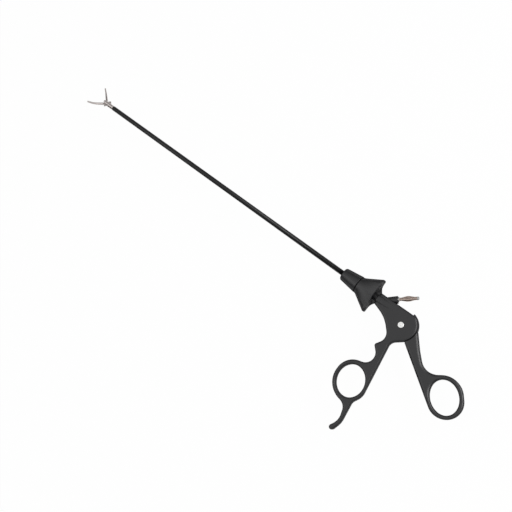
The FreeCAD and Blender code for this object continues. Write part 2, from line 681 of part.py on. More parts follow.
def tang_pin(node, side):
    """The pin that joins a jaw's tang to its link."""
    pin = cylinder(node, "link_pin", "boss_face - run_gap")
    foot = Vector(0, 0, size("run_gap") if side < 0 else -size("boss_face"))
    pin.Placement = Placement(Vector(size(JAW_PIVOT), 0, 0), ROLL) \
        * Placement(open_tang(side) + foot, Rotation())


def link(node, side):
    """A flat link from a tang pin back to the push rod's pin.

    Its frame lies on the tang pin with X towards the front. The rear eye is wider than its pin
    by the drift between them over the travel.
    """
    piece = body(node)
    drawing = sketch(piece, node + "_side")
    eye = ("-link_length + link_drift", f"{side} * drift_ratio * link_drift")
    discs = [(*eye, "link_eye", 1), ("0", "0", "link_end", 1)]
    belt(drawing, discs)
    drawing.AttachmentOffset = Placement(Vector(0, 0, -side * size("tang_face + run_gap")), Rotation())
    pad(piece, drawing, "boss_face - tang_face - run_gap", both_ways=False, backwards=side > 0)
    drawing = sketch(piece, node + "_holes")
    circle(drawing, "0", "0", "link_pin + run_gap")
    circle(drawing, *eye, "link_pin + link_drift + 2 * run_gap")
    pocket(piece, drawing, "8 * blade_half")
    rise = size("tang_length") * math.sin(math.radians(size(TANG_OPEN)))
    lean = math.degrees(math.asin(rise / size("link_length")))
    piece.Placement = Placement(Vector(size(JAW_PIVOT), 0, 0), ROLL) \
        * Placement(open_tang(side), Rotation(Vector(0, 0, 1), -side * lean))


# Bends of a blade seen along its bite face: where each starts, and its radius
BLADE_FLAT = "(blade_start + flat_ratio * (jaw_length - blade_start))"
BLADE_WAIST = "(blade_start + waist_ratio * (jaw_length - blade_start))"
BEND_REACH = f"(jaw_length - tip_half - {BLADE_FLAT})"
BEND_RISE = "(blade_bend + blade_half)"
BEND_OUTSIDE = (f"(bend_ratio * ({BEND_REACH} ^ 2 + {BEND_RISE} ^ 2 - tip_half ^ 2)"
                f" / (2 * ({BEND_RISE} - tip_half)))")
WAIST_REACH = f"(jaw_length - tip_half - {BLADE_WAIST})"
WAIST_RISE = "(blade_bend - blade_waist)"
BEND_INSIDE = (f"(bend_ratio * ({WAIST_REACH} ^ 2 + {WAIST_RISE} ^ 2 - tip_half ^ 2)"
               f" / (2 * ({WAIST_RISE} + tip_half)))")
for name, side in (("upper", -1), ("lower", 1)):
    jaw(name + "_jaw", side)
    tang_pin(name + "_tang_pin", side)
    link(name + "_link", side)

# Push rod: a turned rod with a flat eye for the link pin
rod = body("push_rod")
drawing = sketch(rod, "rod_section")
rod_back = f"({BALL_PLACE} - {ROD_FRONT})"
polygon(drawing, [(rod_back, "0"), ("-rod_eye / 2", "0"), ("-rod_eye / 2", "rod_radius"),
                  (rod_back, "rod_radius")])
revolve(rod, drawing)
drawing = sketch(rod, "rod_eye_form")
circle(drawing, "0", "0", "rod_eye")
pad(rod, drawing, "2 * rod_eye_half")
drawing = sketch(rod, "rod_flats", "XZ_Plane")
for low, high in (("-2 * rod_eye", "-rod_eye_half"), ("rod_eye_half", "2 * rod_eye")):
    polygon(drawing, [("-3 * rod_eye", low), ("2 * rod_eye", low),
                      ("2 * rod_eye", high), ("-3 * rod_eye", high)])
pocket(rod, drawing, "4 * rod_eye")
drawing = sketch(rod, "rod_pin_hole")
circle(drawing, "0", "0", "link_pin + seat_gap")
pocket(rod, drawing, "4 * rod_eye")
rod.Placement = Placement(Vector(size(ROD_FRONT), 0, 0), ROLL)
bind(rod, "Placement.Base.x", ROD_FRONT)

pin = cylinder("rod_pin", "link_pin", "2 * boss_face")
pin.Placement = Placement(Vector(size(ROD_FRONT), 0, 0), ROLL) \
    * Placement(Vector(0, 0, -size("boss_face")), Rotation())

# Ball at the rod's rear, drilled for the rod
ball = doc.addObject("Part::Sphere", "ball_blank")
ball.Radius = size("ball_radius")
bind(ball, "Radius", "ball_radius")
ball.Placement = Placement(Vector(size(BALL_PLACE), 0, 0), Rotation())
drill = cylinder("ball_drill", "rod_radius + seat_gap", "2 * ball_radius")
drill.Placement = Placement(Vector(size(BALL_PLACE), 0, 0), Rotation(Vector(0, 1, 0), 90))
rod_ball = doc.addObject("Part::Cut", "rod_ball")
rod_ball.Label = "rod_ball"
rod_ball.Base = ball
rod_ball.Tool = drill


def handle_edges(edge):
    """The edges of a handle piece on its two flat faces."""
    return abs(abs(middle(edge).z) - size("handle_thick / 2")) < NEAR


def ring_hole(piece, name):
    """Cut a ring's oval opening and round its edges."""
    drawing = sketch(piece, name + "_opening")
    ellipse(drawing, name + "_hole_x", name + "_hole_y", name + "_hole_long", name + "_hole_wide",
            name + "_hole_tilt")
    pocket(piece, drawing, "2 * handle_thick")
    centre = Vector(size(name + "_hole_x"), size(name + "_hole_y"), 0)
    reach = size(name + "_hole_long / 2 + ring_round")

    def rim(edge):
        point = middle(edge)
        return handle_edges(edge) and math.hypot(point.x - centre.x, point.y - centre.y) < reach
    fillet(piece, "ring_round", rim)


def at_pivot(angle, reach):
    """Corner at an angle and distance from the handle pivot."""
    return f"lever_x + {reach} * cos({angle})", f"lever_y + {reach} * sin({angle})"


# Finger handle: arm with its ring and hook, two cheeks, a round neck and the connector boss
handle = body("finger_handle")
drawing = sketch(handle, "finger_outline")
belt(drawing, outline(FINGER_OUTLINE))
pad(handle, drawing, "handle_thick")
fillet(handle, "handle_round", handle_edges)
ring_hole(handle, "finger")
drawing = sketch(handle, "neck_section")
neck_back = "(neck_front_x - neck_length)"
polygon(drawing, [
    (f"{neck_back} - neck_radius", "0"), ("neck_front_x", "0"),
    ("neck_front_x", "neck_radius - edge_small"), ("neck_front_x - edge_small", "neck_radius"),
    (neck_back, "neck_radius"), (f"{neck_back} - neck_radius", "handle_thick / 2 - handle_round"),
])
revolve(handle, drawing)
drawing = sketch(handle, "boss_section")
circle(drawing, "0", "0", "boss_end_radius")
plug_angle = math.radians(size("plug_tilt"))
outward = Vector(math.cos(plug_angle), math.sin(plug_angle), 0)
boss_face_place = Placement(Vector(size("plug_x"), size("plug_y"), 0),
                            Rotation(Vector(0, 0, 1), outward))
drawing.AttachmentOffset = boss_face_place
pad(handle, drawing, "boss_depth", both_ways=False, backwards=True)
fillet(handle, "edge_small", lambda edge: isinstance(edge.Curve, Part.Circle)
       and edge.Curve.Center.distanceToPoint(boss_face_place.Base) < NEAR
       and abs(edge.Curve.Radius - size("boss_end_radius")) < NEAR)
drawing = sketch(handle, "plug_hole")
circle(drawing, "0", "0", "plug_core + seat_gap")
drawing.AttachmentOffset = boss_face_place
pocket(handle, drawing, "plug_root", both_ways=False)
drawing = sketch(handle, "lever_slot")
slot_reach = "(1.5 * tongue_radius)"
polygon(drawing, [("lever_x", "lever_y"), at_pivot("tongue_low_angle - slot_low_angle", slot_reach),
                  at_pivot("(tongue_low_angle + tongue_high_angle) / 2", slot_reach),
                  at_pivot("tongue_high_angle + slot_high_angle", slot_reach)])
pocket(handle, drawing, "tongue_thick + 2 * play")
drawing = sketch(handle, "hub_slot")
circle(drawing, "lever_x", "lever_y", "hub_radius + 2 * play")
pocket(handle, drawing, "tongue_thick + 2 * play")
drawing = sketch(handle, "neck_bore")
polygon(drawing, [
    ("lever_x", "0"), ("neck_front_x + play", "0"), ("neck_front_x + play", "sleeve_radius + run_gap"),
    ("-clip_place + clip_thick / 2 + play", "sleeve_radius + run_gap"),
    ("-clip_place + clip_thick / 2 + play", "clip_radius + play"),
    ("-clip_place - clip_thick / 2 - play", "clip_radius + play"),
    ("-clip_place - clip_thick / 2 - play", "sleeve_radius + run_gap"),
    ("-sleeve_back - play", "sleeve_radius + run_gap"),
    ("-sleeve_back - play", "rod_radius + 2 * play"),
    ("lever_x", "rod_radius + 2 * play"),
])
groove(handle, drawing)
drawing = sketch(handle, "rivet_hole")
circle(drawing, "lever_x", "lever_y", "rivet_radius + seat_gap")
pocket(handle, drawing, "2 * handle_thick")

# Handle pivot: a headed shank and the cap on its far end
PIVOT = Placement(Vector(size("lever_x"), size("lever_y"), 0), Rotation())
rivet = body("pivot_rivet")
drawing = sketch(rivet, "rivet_section", "XZ_Plane")
polygon(drawing, [
    ("0", "-handle_thick / 2 - rivet_rise + edge_small"),
    ("rivet_radius", "-handle_thick / 2 - rivet_rise + edge_small"),
    ("rivet_radius", "handle_thick / 2"), ("rivet_head", "handle_thick / 2"),
    ("rivet_head", "handle_thick / 2 + rivet_rise / 2"),
    ("rivet_head - rivet_rise / 2", "handle_thick / 2 + rivet_rise"),
    ("0", "handle_thick / 2 + rivet_rise"),
])
revolve(rivet, drawing, "V_Axis")
rivet.Placement = PIVOT
cap = body("rivet_cap")
drawing = sketch(cap, "cap_section", "XZ_Plane")
polygon(drawing, [
    ("rivet_radius + seat_gap", "-handle_thick / 2"), ("rivet_head", "-handle_thick / 2"),
    ("rivet_head", "-handle_thick / 2 - rivet_rise / 2"),
    ("rivet_head - rivet_rise / 2", "-handle_thick / 2 - rivet_rise"),
    ("rivet_radius + seat_gap", "-handle_thick / 2 - rivet_rise"),
])
revolve(cap, drawing, "V_Axis")
cap.Placement = PIVOT

# Thumb lever: ring and arm at full thickness, a thin tongue and hub between the cheeks, and a
# fork in the hub that drives the rod's ball
lever = body("thumb_handle")
drawing = sketch(lever, "thumb_outline")
belt(drawing, outline(THUMB_OUTLINE))
pad(lever, drawing, "handle_thick")
fillet(lever, "handle_round", handle_edges)
drawing = sketch(lever, "cheek_relief")
circle(drawing, "lever_x", "lever_y", "cheek_radius + play")
pocket(lever, drawing, "2 * handle_thick")
drawing = sketch(lever, "shoulder_relief")
circle(drawing, *at_pivot("tongue_low_angle", "(cheek_radius + play + relief_depth - relief_radius)"),
       "relief_radius")
pocket(lever, drawing, "2 * handle_thick")
ring_hole(lever, "thumb")
drawing = sketch(lever, "tongue")
circle(drawing, "lever_x", "lever_y", "tongue_radius")
pad(lever, drawing, "tongue_thick")
drawing = sketch(lever, "tongue_ends")
third = "(360 - tongue_high_angle + tongue_low_angle) / 3"
polygon(drawing, [
    ("lever_x", "lever_y"), at_pivot("tongue_high_angle", slot_reach),
    at_pivot(f"tongue_high_angle + {third}", slot_reach),
    at_pivot(f"tongue_low_angle - {third}", slot_reach), at_pivot("tongue_low_angle", slot_reach),
])
pocket(lever, drawing, "tongue_thick")
drawing = sketch(lever, "hub")
circle(drawing, "lever_x", "lever_y", "hub_radius")
pad(lever, drawing, "tongue_thick")
drawing = sketch(lever, "ball_socket")
belt(drawing, [
    (f"lever_x + (1 - fork_ratio) * {STROKE} / 2", "fork_ratio * lever_y", "ball_radius + play / 2", 1),
    (f"lever_x + {STROKE}", "-lever_y", "ball_radius + play / 2", 1),
])
pocket(lever, drawing, "2 * tongue_thick")
drawing = sketch(lever, "rod_passage")
polygon(drawing, [
    (BALL_PLACE, "-lever_y"), ("lever_x + 2 * hub_radius", "-lever_y"),
    ("lever_x + 2 * hub_radius", "rod_radius + play + (2 * hub_radius) * tan(rod_swing)"),
    (BALL_PLACE, "rod_radius + play"),
])
pocket(lever, drawing, "2 * (rod_radius + play)")
drawing = sketch(lever, "bush_hole")
circle(drawing, "lever_x", "lever_y", "bush_radius + seat_gap")
pocket(lever, drawing, "2 * handle_thick")

bush = body("lever_bush")
drawing = sketch(bush, "bush_section", "XZ_Plane")
polygon(drawing, [
    ("rivet_radius + run_gap", "-tongue_thick / 2"), ("bush_radius", "-tongue_thick / 2"),
    ("bush_radius", "tongue_thick / 2"), ("rivet_radius + run_gap", "tongue_thick / 2"),
])
revolve(bush, drawing, "V_Axis")
bush.Placement = PIVOT

# Contact plug: each piece has its X axis along the plug, from the boss's face outwards
PLUG = Placement(Vector(size("plug_x"), size("plug_y"), 0),
                 Rotation(Vector(0, 0, 1), size("plug_tilt")))
cage_end = "(cage_start + cage_length)"
base = turned_ring("plug_collar", "seat_gap", "collar_high", "plug_core + seat_gap", "collar_flat")
core = turned_ring("plug_core", "-plug_root", f"{cage_end} + cage_rim", "0", "plug_core")
nose = body("plug_nose")
drawing = sketch(nose, "nose_section")
polygon(drawing, [
    (f"{cage_end} + cage_rim", "0"), ("plug_length", "0"), ("plug_length", "plug_nose / 3"),
    ("plug_length - plug_nose / 2", "plug_nose * 4 / 5"),
    ("plug_length - plug_nose", "plug_nose"),
    (f"{cage_end} + seat_gap", "plug_nose"), (f"{cage_end} + seat_gap", "plug_core + seat_gap"),
    (f"{cage_end} + cage_rim", "plug_core + seat_gap"),
])
revolve(nose, drawing)
cage = body("contact_cage")
drawing = sketch(cage, "cage_section")
ramp = "cage_length * 3 / 10"
polygon(drawing, [
    ("cage_start", "cage_ring"), ("cage_start", "plug_core + seat_gap"),
    ("cage_start + cage_rim", "plug_core + seat_gap"),
    (f"cage_start + cage_rim + {ramp}", "cage_radius - cage_wall"),
    (f"{cage_end} - cage_rim - {ramp}", "cage_radius - cage_wall"),
    (f"{cage_end} - cage_rim", "plug_core + seat_gap"),
    (cage_end, "plug_core + seat_gap"), (cage_end, "cage_ring"),
    (f"{cage_end} - cage_rim", "cage_ring"), (f"{cage_end} - cage_rim - {ramp}", "cage_radius"),
    (f"cage_start + cage_rim + {ramp}", "cage_radius"), ("cage_start + cage_rim", "cage_ring"),
])
revolve(cage, drawing)
drawing = sketch(cage, "cage_slit")
polygon(drawing, [
    ("cage_start + cage_rim", "-cage_split / 2"), (f"{cage_end} - cage_rim", "-cage_split / 2"),
    (f"{cage_end} - cage_rim", "cage_split / 2"), ("cage_start + cage_rim", "cage_split / 2"),
])
slit = pocket(cage, drawing, "3 * cage_radius", both_ways=False)
around(cage, slit, "cage_strips")
for piece in (base, core, nose, cage):
    piece.Placement = PLUG

# Check every object, then write each piece to a file of its own
doc.recompute()
blanks = {"ball_blank", "ball_drill"}
pieces = [item for item in doc.Objects if item.Name not in blanks
          and (item.TypeId == "PartDesign::Body"
               or item.TypeId.startswith("Part::") and not item.getParentGeoFeatureGroup())]
for item in doc.Objects:
    assert not {"Invalid", "Error"} & set(item.State), f"{item.Name} failed: {item.State}"
os.makedirs("parts", exist_ok=True)
for piece in pieces:
    shape = piece.Shape
    assert not shape.isNull() and shape.isValid(), f"{piece.Label} has no valid shape"
    assert len(shape.Solids) == 1, f"{piece.Label} is {len(shape.Solids)} solids"
    shape.exportStep(f"parts/{piece.Label}.step")
print(len(pieces), "pieces; stroke", round(size(STROKE), 3), "rod pin", round(size(ROD_FRONT), 3),
      "ball", round(size(BALL_PLACE), 3))
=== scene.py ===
import json
import math

import bmesh
import bpy
import numpy as np
from mathutils import Matrix, Vector
from mathutils.geometry import delaunay_2d_cdt


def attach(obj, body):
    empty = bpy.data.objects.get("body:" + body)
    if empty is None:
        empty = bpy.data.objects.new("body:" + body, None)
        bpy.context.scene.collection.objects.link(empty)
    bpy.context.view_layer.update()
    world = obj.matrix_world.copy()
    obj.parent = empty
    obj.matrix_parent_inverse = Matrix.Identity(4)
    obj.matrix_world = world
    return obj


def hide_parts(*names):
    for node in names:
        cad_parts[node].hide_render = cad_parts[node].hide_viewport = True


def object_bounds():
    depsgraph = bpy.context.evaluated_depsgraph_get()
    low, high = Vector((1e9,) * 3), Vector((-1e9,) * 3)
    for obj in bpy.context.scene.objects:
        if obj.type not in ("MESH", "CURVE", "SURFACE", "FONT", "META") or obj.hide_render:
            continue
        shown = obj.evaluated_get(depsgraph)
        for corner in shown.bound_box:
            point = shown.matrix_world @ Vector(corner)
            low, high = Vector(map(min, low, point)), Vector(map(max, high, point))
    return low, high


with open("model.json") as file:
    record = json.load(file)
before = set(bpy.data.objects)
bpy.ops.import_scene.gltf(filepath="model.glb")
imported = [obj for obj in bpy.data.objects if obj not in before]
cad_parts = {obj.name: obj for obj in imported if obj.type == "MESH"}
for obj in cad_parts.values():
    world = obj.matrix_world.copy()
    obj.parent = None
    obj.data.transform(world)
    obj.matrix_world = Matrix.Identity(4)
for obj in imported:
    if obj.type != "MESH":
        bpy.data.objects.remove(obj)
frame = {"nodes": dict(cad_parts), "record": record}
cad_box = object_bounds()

nodes = frame["nodes"]
MM = 0.001


# The camera stands where the photographer stood: above the handle, 64 cm from the shaft, and it
# looks down along the instrument at 23 degrees from upright.
camera_data = bpy.data.cameras.new("camera")
camera_data.lens = 49.21875
camera_data.sensor_width = 36.0
camera_data.clip_start = 0.02
camera = bpy.data.objects.new("camera", camera_data)
bpy.context.scene.collection.objects.link(camera)
look = Vector((0.38715, 0.00787, -0.92198))
right = Vector((-0.73642, -0.59907, -0.31434))
up = right.cross(look)
camera.matrix_world = Matrix((
    (right.x, up.x, -look.x, -185.07 * MM),
    (right.y, up.y, -look.y, 30.81 * MM),
    (right.z, up.z, -look.z, 636.89 * MM),
    (0.0, 0.0, 0.0, 1.0)))
bpy.context.scene.camera = camera
bpy.context.scene.view_settings.view_transform = "Standard"


# Studio sweep of white paper under the instrument. The camera sees it as plain white, and it keeps
# the faint shadow of the instrument that lies on it.
def linear(code):
    """Linear colour of an sRGB hex value."""
    parts = [int(code[index:index + 2], 16) / 255 for index in (1, 3, 5)]
    return (*[part / 12.92 if part <= 0.04045 else ((part + 0.055) / 1.055) ** 2.4
              for part in parts], 1.0)


def add(tree, kind, settings=None, links=None, **values):
    """Add a node with its settings, its links and its sockets' values, as Name or s and number."""
    node = tree.nodes.new(kind)
    for name, value in (settings or {}).items():
        setattr(node, name, value)
    for name, value in values.items():
        socket = int(name[1:]) if name[1:].isdigit() else name.replace("_", " ")
        node.inputs[socket].default_value = value
    for name, source in (links or {}).items():
        tree.links.new(source, node.inputs[name])
    return node


def new_material(name):
    """A material with an empty node tree."""
    made = bpy.data.materials.new(name)
    made.use_nodes = True
    made.node_tree.nodes.clear()
    return made, made.node_tree


# Matt white paper. It glows white for the camera, in mirrors and through glass, less a small share
# that keeps the shadow.
PAPER_GLOW = 0.978
paper, tree = new_material("white_studio_paper")
rays = add(tree, "ShaderNodeLightPath")
matt = add(tree, "ShaderNodeBsdfDiffuse", Color=linear("#FAFAFA"))
glow = add(tree, "ShaderNodeEmission", Color=linear("#FFFFFF"), Strength=1.0)
plain = add(tree, "ShaderNodeMath", {"operation": "MAXIMUM"},
            {0: rays.outputs["Is Camera Ray"], 1: rays.outputs["Is Glossy Ray"]})
clear = add(tree, "ShaderNodeMath", {"operation": "MAXIMUM"},
            {0: plain.outputs[0], 1: rays.outputs["Is Transmission Ray"]})
seen = add(tree, "ShaderNodeMath", {"operation": "MULTIPLY"}, {0: clear.outputs[0]}, s1=PAPER_GLOW)
both = add(tree, "ShaderNodeMixShader", None,
           {0: seen.outputs[0], 1: matt.outputs[0], 2: glow.outputs[0]})
add(tree, "ShaderNodeOutputMaterial", None, {"Surface": both.outputs[0]})
SWEEP_REACH = 2.5
floor_z = cad_box[0][2]
sweep_mesh = bpy.data.meshes.new("studio_sweep")
sweep_mesh.from_pydata([(x, y, floor_z) for x, y in (
    (-SWEEP_REACH, -SWEEP_REACH), (SWEEP_REACH, -SWEEP_REACH), (SWEEP_REACH, SWEEP_REACH),
    (-SWEEP_REACH, SWEEP_REACH))], [], [(0, 1, 2, 3)])
sweep_mesh.materials.append(paper)
sweep = bpy.data.objects.new("studio_sweep", sweep_mesh)
bpy.context.scene.collection.objects.link(sweep)

# Soft studio light: a softbox in front and one behind, which draws the pale strip along the lever's
# rounded edge. The surround is white to the camera, dim on the instrument, and in the instrument's
# gloss brightest overhead, so that its edges fall off into the dark.
SURROUND = 0.4
world = bpy.data.worlds.new("studio")
bpy.context.scene.world = world
world.use_nodes = True
tree = world.node_tree
tree.nodes.clear()
rays = add(tree, "ShaderNodeLightPath")
place = add(tree, "ShaderNodeTexCoord")
axes = add(tree, "ShaderNodeSeparateXYZ", None, {0: place.outputs["Generated"]})
height = add(tree, "ShaderNodeMapRange", None, {"Value": axes.outputs["Z"]},
             From_Min=0.3, From_Max=0.95, To_Min=0.15, To_Max=0.98)
mirrored = add(tree, "ShaderNodeMix", {"data_type": "FLOAT"},
               {0: rays.outputs["Is Glossy Ray"], 3: height.outputs[0]}, s2=SURROUND)
strength = add(tree, "ShaderNodeMix", {"data_type": "FLOAT"},
               {0: rays.outputs["Is Camera Ray"], 2: mirrored.outputs[0]}, s3=1.0)
surround = add(tree, "ShaderNodeBackground", None, {"Strength": strength.outputs[0]},
               Color=linear("#FFFFFF"))
add(tree, "ShaderNodeOutputWorld", None, {"Surface": surround.outputs[0]})
for name, place, aim, width, height, power in (
        ("softbox_front", (0.50, 0.42, 0.80), (-0.05, 0.03, 0.0), 1.0, 0.4, 1.4),
        ("softbox_back", (-0.60, -0.50, 0.66), (-0.05, 0.03, 0.0), 0.9, 0.36, 5.4)):
    lamp_data = bpy.data.lights.new(name, "AREA")
    lamp_data.shape = "RECTANGLE"
    lamp_data.size = width
    lamp_data.size_y = height
    lamp_data.energy = power
    lamp = bpy.data.objects.new(name, lamp_data)
    bpy.context.scene.collection.objects.link(lamp)
    lamp.location = place
    lamp.rotation_euler = (Vector(aim) - Vector(place)).to_track_quat("-Z", "Y").to_euler()


# Finger handle: one moulding of glass-filled nylon, 9 mm thick, with the finger ring, the rest hook
# and the two cheeks of the pivot. Its faces are softly crowned towards their rounded edges.

# Charcoal plastic with a fine spark-eroded grain and faint clouds. Its soft sheen is kept to the
# faces that look at the eye, and the steep edges stay dark.
nylon, tree = new_material("moulded_glass_filled_nylon")
place = add(tree, "ShaderNodeTexCoord")
spark = add(tree, "ShaderNodeTexNoise", None, {"Vector": place.outputs["Object"]},
            Scale=2400.0, Detail=3.0)
cloud = add(tree, "ShaderNodeTexNoise", None, {"Vector": place.outputs["Object"]},
            Scale=70.0, Detail=2.0)
tint = add(tree, "ShaderNodeMix", {"data_type": "RGBA"}, {0: cloud.outputs[0]},
           s6=linear("#161618"), s7=linear("#202022"))
gloss = add(tree, "ShaderNodeMapRange", None, {"Value": spark.outputs[0]}, To_Min=0.30, To_Max=0.44)
facing = add(tree, "ShaderNodeLayerWeight", Blend=0.5)
sheen = add(tree, "ShaderNodeMapRange", None, {"Value": facing.outputs["Facing"]},
            From_Min=0.2, From_Max=0.6, To_Min=0.5, To_Max=0.01)
bump = add(tree, "ShaderNodeBump", None, {"Height": spark.outputs[0]}, Strength=0.3, Distance=0.00005)
shader = add(tree, "ShaderNodeBsdfPrincipled", None,
             {"Base Color": tint.outputs[2], "Roughness": gloss.outputs[0], "Normal": bump.outputs[0],
              "Specular IOR Level": sheen.outputs[0]}, IOR=1.53)
add(tree, "ShaderNodeOutputMaterial", None, {"Surface": shader.outputs[0]})

HANDLE_HALF = 4.5
EDGE_ROUND = 1.6
SEAM_HALF, SEAM_DEPTH = 0.12, 0.1
FACE_GRID, FACE_MARGIN = 0.8, 0.35
LEVER = (-72.2, 7.4)


def belt_points(discs, spacing=0.7):
    """Points and outward normals of an outline pulled round discs: x, y, radius, 1 or -1."""
    count = len(discs)
    sides = []
    for index, (x, y, radius, turn) in enumerate(discs):
        next_x, next_y, next_radius, next_turn = discs[(index + 1) % count]
        step_x, step_y = next_x - x, next_y - y
        length = math.hypot(step_x, step_y)
        lean = math.acos((turn * radius - next_turn * next_radius) / length)
        sides.append(math.atan2(step_y, step_x) - lean)
    points, normals = [], []
    for index, (x, y, radius, turn) in enumerate(discs):
        first, last = sides[index - 1], sides[index]
        sweep = (last - first) % (2 * math.pi) if turn > 0 else -((first - last) % (2 * math.pi))
        steps = max(2, math.ceil(abs(sweep) * radius / spacing))
        for step in range(steps + 1):
            angle = first + sweep * step / steps
            normal = np.array((math.cos(angle), math.sin(angle)))
            points.append(np.array((x, y)) + normal * (turn * radius))
            normals.append(normal)
        next_x, next_y, next_radius, next_turn = discs[(index + 1) % count]
        normal = np.array((math.cos(last), math.sin(last)))
        start, end = points[-1], np.array((next_x, next_y)) + normal * (next_turn * next_radius)
        runs = int(np.linalg.norm(end - start) / (2 * spacing))
        for step in range(1, runs):
            points.append(start + (end - start) * step / runs)
            normals.append(normal)
    return np.array(points), np.array(normals)


def oval_points(x, y, long, wide, tilt, count=120):
    """Points and inward normals of a ring's oval opening."""
    turn = math.radians(tilt)
    angles = -np.arange(count) * 2 * math.pi / count
    along, across = np.cos(angles) * long / 2, np.sin(angles) * wide / 2
    normal = -np.stack((np.cos(angles) * wide, np.sin(angles) * long), 1)
    normal /= np.linalg.norm(normal, axis=1)[:, None]
    rotation = np.array(((math.cos(turn), math.sin(turn)), (-math.sin(turn), math.cos(turn))))
    return np.stack((along, across), 1) @ rotation + (x, y), normal @ rotation


def crown_drop(distance, crown, turn):
    """How far the face lies below its crown at a distance from an edge."""
    ahead = np.clip(EDGE_ROUND * (1 - math.cos(turn)) + crown - distance, 0, crown)
    return ahead ** 2 / (2 * crown * math.tan(turn))


def distance_to(loop, points):
    """Distance of each point from a closed line."""
    best = np.full(len(points), 1e9)
    for start, end in zip(loop, np.roll(loop, -1, axis=0)):
        run = end - start
        share = np.clip(((points - start) @ run) / max(run @ run, 1e-12), 0, 1)
        best = np.minimum(best, np.linalg.norm(points - start - share[:, None] * run, axis=1))
    return best


def inside(loop, points):
    """Whether each point lies inside a closed line."""
    found = np.zeros(len(points), bool)
    for start, end in zip(loop, np.roll(loop, -1, axis=0)):
        crosses = (start[1] > points[:, 1]) != (end[1] > points[:, 1])
        if crosses.any():
            slope = (end[0] - start[0]) / (end[1] - start[1] + 1e-15)
            found ^= crosses & (points[:, 0] < start[0] + (points[:, 1] - start[1]) * slope)
    return found


def moulding(name, discs, oval, crown, turn):
    """A flat moulding with a ring. Its edges are rounded through a turn in degrees, its faces fall
    over the width of the crown, and it has a fine parting seam."""
    loops = [belt_points(discs), oval_points(*oval)]
    profile = [(SEAM_DEPTH, 0.0), (0.0, SEAM_HALF)]
    turn = math.radians(turn)
    edge_width = EDGE_ROUND * (1 - math.cos(turn))
    centre_z = HANDLE_HALF - crown / math.tan(turn) / 2 - EDGE_ROUND * math.sin(turn)
    for step in range(8):
        angle = turn * step / 7
        profile.append((EDGE_ROUND * (1 - math.cos(angle)), centre_z + EDGE_ROUND * math.sin(angle)))
    shape = bmesh.new()
    flat, edges, rims = [], [], []
    for own, (points, normals) in enumerate(loops):
        other = loops[1 - own][0]
        rings = []
        for inset, height in profile:
            ring = points - normals * inset
            drop = np.zeros(len(ring))
            if height > centre_z:
                drop = crown_drop(distance_to(other, ring), crown, turn)
            rings.append([(*corner * MM, (height - low) * MM) for corner, low in zip(ring, drop)])
        upper = [[shape.verts.new(corner) for corner in ring] for ring in rings]
        lower = [[shape.verts.new((x, y, -z)) for x, y, z in ring] for ring in rings[1:]]
        lower.insert(0, upper[0])
        for side, flip in ((upper, False), (lower, True)):
            for near, far in zip(side, side[1:]):
                for index in range(len(near)):
                    after = (index + 1) % len(near)
                    corners = [near[index], near[after], far[after], far[index]]
                    shape.faces.new(corners[::-1] if flip else corners)
        start = len(flat)
        flat += [Vector(corner) for corner in points - normals * edge_width]
        edges += [(start + index, start + (index + 1) % len(points)) for index in range(len(points))]
        rims += list(zip(upper[-1], lower[-1]))
    rim_outer, rim_oval = (points - normals * edge_width for points, normals in loops)
    low, high = rim_outer.min(0), rim_outer.max(0)
    across = [np.arange(start, end, FACE_GRID) for start, end in zip(low, high)]
    grid = np.stack(np.meshgrid(*across), -1).reshape(-1, 2)
    grid = grid[inside(rim_outer, grid) & ~inside(rim_oval, grid)]
    near = np.minimum(distance_to(rim_outer, grid), distance_to(rim_oval, grid))
    grid = grid[near > FACE_MARGIN]
    flat += [Vector(corner) for corner in grid]
    heights = np.full(len(grid), HANDLE_HALF)
    for points, _ in loops:
        heights -= crown_drop(distance_to(points, grid), crown, turn)
    corners, _, faces, origin, _, _ = delaunay_2d_cdt(flat, edges, [], 0, 1e-7)
    where = np.array([tuple(corner) for corner in corners])
    centres = where[np.array(faces)].mean(1)
    wanted = inside(rim_outer, centres) & ~inside(rim_oval, centres)
    pairs = {}
    for index, sources in enumerate(origin):
        first = sources[0]
        if first < len(rims):
            pairs[index] = rims[first]
        else:
            x, y, z = *(where[index] * MM), heights[first - len(rims)] * MM
            pairs[index] = (shape.verts.new((x, y, z)), shape.verts.new((x, y, -z)))
    for face, keep in zip(faces, wanted):
        if keep:
            shape.faces.new([pairs[index][0] for index in face])
            shape.faces.new([pairs[index][1] for index in reversed(face)])
    bmesh.ops.recalc_face_normals(shape, faces=shape.faces)
    return to_object(name, shape, nylon)


def to_object(name, shape, finish):
    """Turn an edited shape into a smooth-shaded object of one finish."""
    mesh = bpy.data.meshes.new(name)
    shape.to_mesh(mesh)
    shape.free()
    mesh.materials.append(finish)
    mesh.shade_smooth()
    made = bpy.data.objects.new(name, mesh)
    bpy.context.scene.collection.objects.link(made)
    return made


def turned(name, profile, finish, place=Matrix.Identity(4), steps=72):
    """A closed shape turned about the X axis, from points of x and radius in millimetres."""
    shape = bmesh.new()
    rings = []
    for x, radius in profile:
        if radius < 1e-6:
            rings.append([shape.verts.new((x * MM, 0, 0))])
            continue
        angles = [2 * math.pi * step / steps for step in range(steps)]
        circle = [(x * MM, radius * MM * math.cos(angle), radius * MM * math.sin(angle))
                  for angle in angles]
        rings.append([shape.verts.new(corner) for corner in circle])
    hollow = len(rings[0]) > 1
    for near, far in zip(rings, rings[1:] + rings[:1] if hollow else rings[1:]):
        for step in range(steps):
            after = (step + 1) % steps
            corners = [near[step % len(near)], near[after % len(near)],
                       far[after % len(far)], far[step % len(far)]]
            corners = list(dict.fromkeys(corners))
            if len(corners) > 2:
                shape.faces.new(corners)
    bmesh.ops.recalc_face_normals(shape, faces=shape.faces)
    shape.transform(place)
    return to_object(name, shape, finish)


